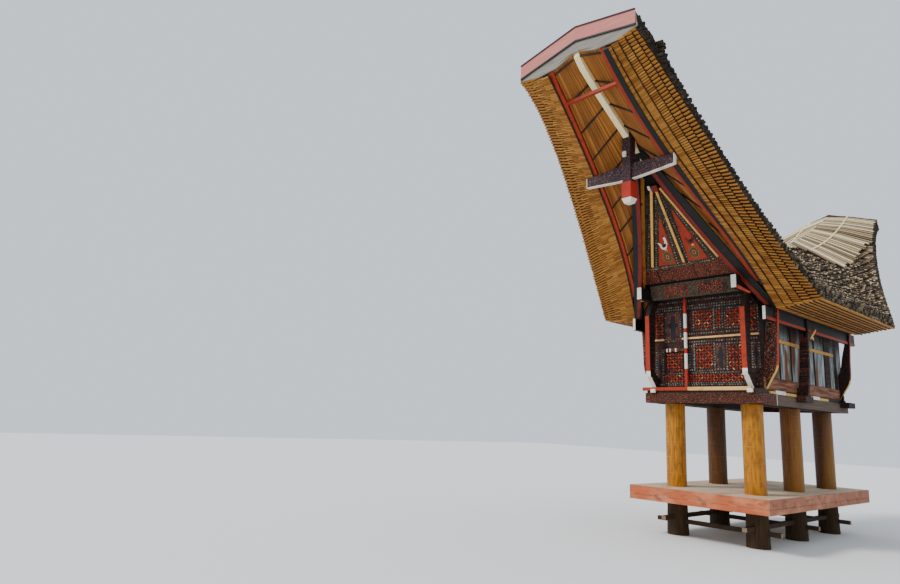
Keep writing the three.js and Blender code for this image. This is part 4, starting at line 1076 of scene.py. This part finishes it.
# The lining of each prow: split bamboo laid along the ridge, pulled up against the roof by
# thin dark battens that run from the rails to the ridge beam, a squared pale pole.
def lining(sign, prow):
    """A thin sheet of ribbed strips from the ridge beam to the rail."""
    reach = PROWS[prow].reach
    ribs, rows = 143, 61
    foot = 2.0
    bpy.ops.mesh.primitive_grid_add(x_subdivisions=ribs - 1, y_subdivisions=rows - 1, size=1)
    sheet = bpy.context.object
    tone = sheet.data.attributes.new("tone", "FLOAT", "POINT")
    strip_tones = [random.random() for _ in range(ribs)]
    for number, vertex in enumerate(sheet.data.vertices):
        row, rib = divmod(number, ribs)
        distance = foot + (reach - 0.03 - foot) * row / (rows - 1)
        s = roof_at(prow * distance)
        x = 0.06 + (s.seat_x - 0.06) * rib / (ribs - 1)
        slope = (s.crown - s.seat_z) / (s.seat_x - 0.06)
        drop = (0.004, 0.010, 0.010)[rib % 3]
        vertex.co = (sign * x, prow * distance, s.crown - (x - 0.06) * slope - drop)
        tone.data[number].value = strip_tones[rib // 3]
    if sign * prow > 0:
        sheet.data.flip_normals()
    return sheet


lining_bamboo, place = start_finish("brown bamboo lining")
tone = tone_of(place)
strip_colour = tint(tone, (116, 66, 20), (186, 122, 52))
aged =ease(grain(place, (5.0, 1.2, 1.2), 4.0), 0.45, 0.7)
strip_colour = tint(aged * 0.5, strip_colour, (96, 54, 20))
end_finish(lining_bamboo, strip_colour, 0.65, tone, 0.001)
pale_pole = plain_paint("peeled ridge pole", (255, 240, 186), (240, 214, 152), (186, 150, 96))
dress(pale_pole, "ridge_beam")
BATTEN_PITCH = 0.425
for end, prow in ENDS.items():
    for side, sign in SIDES.items():
        fit(lining(sign, prow), f"lining_{end}_{side}", lining_bamboo, "bamboo")
    places = []
    distance = PROWS[prow].reach - 0.105
    while distance > 2.7:
        s = roof_at(prow * distance)
        for sign in (-1, 1):
            places.append(between_points(
                (sign * (s.seat_x + 0.01), prow * distance, s.seat_z - 0.024),
                (sign * 0.05, prow * distance, s.crown - 0.026), 0.017,
            ))
        distance -= BATTEN_PITCH
    many(f"lining_battens_{end}", unit_rod(8), places, [0.2] * len(places), dark_wood, "dark_timber")


# The rails of each prow are squared timbers, red below and inside, with a black board along
# the outer side of each, a broad one on the right. A red bar ties them near the tip.
for end, prow in ENDS.items():
    dress(red_paint, f"prow_rails_{end}")
    reach = PROWS[prow].reach
    for side, sign, half in (("left", -1, 0.008), ("right", 1, 0.045)):
        line = []
        for distance in np.linspace(2.33, reach - 0.03, 40):
            s = roof_at(prow * distance)
            x = s.soffit_x - 0.025 + half
            line.append((sign * x, prow * distance, s.soffit_z - 0.001))
        strip = strap(line, half, 0.026, (1, 0, 0), (0, 0, -1))
        fit(strip, f"rail_edge_{end}_{side}", black_paint, "dark_timber")


# The hanging post under each prow, with its lapped arm: carved and stained nearly black,
# with a red block and a white tip at its foot and white laths under the arm.
for end, prow in ENDS.items():
    y_here = prow * (PROWS[prow].reach - (1.595 if prow < 0 else 1.3))
    lift = roof_at(y_here).soffit_z - roof_at(-4.44).soffit_z
    hanging, place = start_finish(f"carved hanging post {end}")
    x, y, z = map(place.axis, "XYZ")
    stained, relief = carved_colour(
        place, x + y, z, 0.055, (0.8, 0.7), (30, 22, 28), (84, 42, 46), (150, 128, 132)
    )
    worn = grain(place, (9.0, 9.0, 9.0), 4.0)
    stained = tint(z < 6.26 + lift, stained, tint(worn, (138, 26, 12), (180, 44, 20)))
    stained = tint(z < 5.962 + lift, stained, (228, 220, 204))
    end_finish(hanging, stained, 0.6, relief, 0.004)
    dress(hanging, f"pendant_{end}")
    before, behind = y_here - 0.041, y_here + 0.041
    laths = [
        board((-0.06, y_here + prow * 0.083, 6.735 + lift), (0.01, y_here + prow * 0.12, 6.835 + lift), 0.005),
        board((-0.084, y_here - 0.084, 5.945 + lift), (0.084, y_here + 0.084, 5.958 + lift), 0.003),
    ]
    for sign in (-1, 1):
        lath = []
        for i in range(7):
            out = 0.083 + 0.802 * i / 6
            rise = 0.06 * max(0.0, (out - 0.165) / 0.72)
            lath.append((sign * out, y_here, 6.325 + rise + lift))
        laths.append(strap(lath, 0.041, 0.012, (0, 1, 0), (0, 0, -1)))
        laths.append(board((sign * 0.886, before, 6.375 + lift), (sign * 0.898, behind, 6.56 + lift), 0.003))
    fit(joined(laths), f"pendant_laths_{end}", white_paint, "cream_wood")


# The boards that close the roof's ends: a grey board with a curved lower edge, a pink board
# over its upper half, a black lath along the foot of the pink one and a black cap.
end_board, place = start_finish("grey end board")
streaks = grain(place, (3.0, 20.0, 30.0), 4.0)
end_finish(end_board, tint(streaks, (92, 88, 80), (152, 146, 134)), 0.6, streaks, 0.002)
pale_pink, place = start_finish("pale pink end board")
streaks = grain(place, (3.0, 20.0, 40.0), 4.0)
end_finish(pale_pink, tint(streaks, (166, 82, 74), (204, 120, 110)), 0.5, streaks, 0.002)
for end, prow in ENDS.items():
    dress(end_board, f"fascia_{end}")
    tip_section = roof_at(prow * PROWS[prow].reach)
    corner_x, corner_z = tip_section.across, tip_section.ridge - tip_section.fall
    for name, material, slot, over, under, out in (
        ("end_board_pink", pale_pink, "pink_board", 0.012, -0.235, 0.016),
        ("end_board_lath", black_paint, "dark_timber", -0.228, -0.256, 0.024),
        ("end_board_cap", black_paint, "dark_timber", 0.03, 0.008, 0.03),
    ):
        line = []
        for side in (-1, 0, 1):
            x = side * corner_x * 1.012
            bow = PROWS[prow].bow * (1 - abs(x) / PROWS[prow].tip)
            height = tip_section.ridge if side == 0 else corner_z
            line.append((x, prow * (PROWS[prow].reach - bow), height + (over + under) / 2))
        piece = strap(line, (over - under) / 2, out, (0, 0, 1), (0, prow, 0))
        fit(piece, f"{name}_{end}", material, slot)


# The covering: hollow bamboo tiles in courses that spread towards the tips, weathered grey,
# with their open ends showing. They are laid from the eave up to the ridge poles.
COURSE = 0.2


def slope_length(section):
    """How long the slope is from its eave to its ridge."""
    return math.hypot(section.across, section.fall)


def poles_edge(section):
    """How far up from the eave the tiles end and the ridge poles begin."""
    spread = min(max((section.share - 0.2) / 0.04, 0.0), 1.0)
    return max(0.0, slope_length(section) - 0.18 - 1.2 * spread)


def first_course(y):
    """Where the lowest course starts: courses are lost below the eave towards the tips."""
    past = abs(y) - LEVEL
    if past <= 0:
        return 0.0
    level_end = roof_at(math.copysign(LEVEL, y))
    return slope_length(roof_at(y)) - slope_length(level_end) - 0.24 * past


def on_cover(section, from_eave, depth):
    """A point so far up the slope and so deep under its surface, in X and Z."""
    length = slope_length(section)
    share = 1 - from_eave / length
    swell = 0.035 * min(share / 0.35, 1.0, (1 - share) / 0.3)
    x = section.across * share - depth * section.fall / length
    return x, section.ridge - section.fall * share + swell - depth * section.across / length


def hollow_tile(sides=6):
    """A bamboo tube, one long, hollow at its lower end."""
    piece = unit_rod(sides)
    for face in piece.data.polygons:
        face.select = face.normal.x < -0.9
    for edge in piece.data.edges:
        edge.select = False
    bpy.ops.object.mode_set(mode="EDIT")
    bpy.ops.mesh.select_mode(type="FACE")
    bpy.ops.mesh.inset(thickness=0.3)
    bpy.ops.mesh.extrude_region_move(TRANSFORM_OT_translate={"value": (0.05, 0, 0)})
    bpy.ops.object.mode_set(mode="OBJECT")
    return piece


tile_bamboo = bamboo_finish(
    "weathered bamboo tiles", (10, 8, 6), 0.5, (34, 26, 18), (34, 27, 19),
    (0.25, (70, 57, 42)), (0.5, (116, 98, 74)), (0.75, (166, 146, 114)), (0.95, (210, 192, 158)),
)
pole_bamboo = bamboo_finish(
    "pale ridge poles", (30, 24, 18), 0.5, (96, 80, 58), (124, 106, 80),
    (0.3, (166, 147, 114)), (0.6, (206, 186, 146)), (0.85, (232, 216, 178)),
)
LAYERS = (("lower", 0.0, 0.045, 0.3), ("middle", 0.067, 0.047, 0.6), ("upper", 0.133, 0.057, 0.6))
for side, sign in SIDES.items():
    for layer, step_up, depth, fading in LAYERS:
        places, tones = [], []
        for y in even_steps(lambda y: roof_at(y).eave_z, -5.97, 5.5, 0.062):
            for course in range(15):
                y_here = y + random.uniform(-0.018, 0.018)
                s = roof_at(y_here)
                start, edge = first_course(y_here) + COURSE * course, poles_edge(s)
                in_rows = min(max(s.share * 3.0 - 0.8, 0.0), 1.0)
                if layer != "lower" and random.random() < in_rows:
                    continue
                foot = start + step_up
                if foot > edge - 0.03 or foot + 0.12 < 0.03:
                    continue
                uneven = 0.02 - 0.014 * in_rows
                low = max(0.0, foot + random.uniform(-uneven, uneven))
                high = max(min(low + 0.1 + 0.12 * in_rows, edge + 0.05), low + 0.04)
                deep = depth + random.uniform(-0.006, 0.006)
                foot_x, foot_z = on_cover(s, low, deep)
                head_x, head_z = on_cover(s, high, deep + (0.5 - 0.2 * in_rows) * (high - low))
                places.append(between_points(
                    (sign * foot_x, y_here, foot_z), (sign * head_x, y_here, head_z),
                    (0.031 - 0.004 * in_rows) * random.uniform(0.8, 1.1),
                ))
                tones.append(max(random.random() ** 1.4, in_rows * random.uniform(0.5, 0.95)))
        many(f"roof_tiles_{layer}_{side}", hollow_tile(), places, tones, tile_bamboo, "bamboo", True, fading)

    # The lowest ones lie on the eave's edge. On the right they stick out at the front tip.
    places, tones = [], []
    for height in (-0.012, 0.03, 0.085, 0.14, 0.2):
        for y in even_steps(lambda y: roof_at(y).eave_z, -5.99, 5.51, 0.058):
            y += random.uniform(-0.016, 0.016)
            s = roof_at(y)
            at_tip = near_tip(s) if sign > 0 > y else 0.0
            if height < 0 and at_tip < 0.2 + random.random() * 0.6:
                continue
            ragged = random.uniform(0.0, 0.014) + at_tip * random.uniform(-0.02, 0.03)
            if at_tip and 0.845 < s.share < 0.872:
                ragged += 0.085
            x, z = s.eave_x - 0.04 * height / 0.26, s.eave_z + height + random.uniform(-0.01, 0.01)
            inwards = 0.05 if height < 0 else 0.12
            places.append(between_points(
                (sign * (x + ragged), y, z), (sign * (x - inwards), y, z + 0.03),
                0.03 * random.uniform(0.8, 1.1),
            ))
            # Painted shade: the tile ends are dark in tone, darkest along the prows.
            tones.append(random.random() * (0.8 - 0.5 * min(s.share * 2.0, 1.0)))
    many(f"eave_tile_ends_{side}", hollow_tile(), places, tones, tile_bamboo, "bamboo", True, 0.6)


# Over the ridge lie long pale bamboo poles, split and bent over it side by side, and held
# down on each prow by a thin lath that runs along the roof.
for side, sign in SIDES.items():
    places, tones = [], []
    for y in even_steps(lambda y: roof_at(y).ridge, -5.93, 5.46, 0.098):
        s = roof_at(y)
        length, edge = slope_length(s), poles_edge(s)
        low = max(0.0, edge + random.uniform(-0.08, 0.04))
        thick = 0.032 * random.uniform(0.85, 1.15)
        wide = 0.06 * random.uniform(0.8, 1.15)
        slip, sink = random.uniform(-0.035, 0.035), random.uniform(0.008, 0.022)
        line = [
            (sign * x, y + slip * share, z)
            for share, (x, z) in (
                (1.0, on_cover(s, low, sink)), (0.5, on_cover(s, (edge + length) / 2, sink)),
                (0.0, on_cover(s, length, sink)),
            )
        ]
        shade = random.random()
        for start, finish in zip(line, line[1:]):
            places.append(between_points(start, finish, thick, wide))
            tones.append(shade)
    many(f"ridge_poles_{side}", hollow_tile(8), places, tones, pole_bamboo, "bamboo", True)
    for end, prow in ENDS.items():
        line = []
        for distance in np.linspace(2.98, PROWS[prow].reach - 0.05, 24):
            s = roof_at(prow * distance)
            swing = 0.06 * math.sin(math.pi * (distance - 2.98) / (PROWS[prow].reach - 3.03))
            x, z = on_cover(s, slope_length(s) - 0.5 - swing, -0.016)
            line.append((sign * x, prow * distance, z))
        lath = strap(line, 0.014, 0.018, (1, 0, -0.5), (0.2, 0, 1))
        fit(lath, f"ridge_lath_{end}_{side}", pale_pole, "bamboo")


# The pole in front of the wall: a turned pole painted in bands of red and white.
bpy.ops.mesh.primitive_cylinder_add(vertices=32, radius=0.032, depth=1.79, location=(-0.298, -2.075, 3.6757))
striped = eased(0.004)
bands, place = start_finish("red and white bands")
z = place.axis("Z")
height = (4.571 - z) * (1.0 / 1.79)
worn = grain(place, (20.0, 20.0, 8.0), 4.0)
red = tint(worn, (138, 28, 12), (178, 46, 22))
white = tint(worn, (206, 198, 184), (238, 232, 220))
is_white = (abs(height - 0.255) < 0.08) + (abs(height - 0.47) < 0.087) + (abs(height - 0.7) < 0.083)
end_finish(bands, tint(is_white, red, white), 0.5, worn, 0.001)
fit(striped, "striped_pole_banded", bands, "red_paint", "striped_pole")
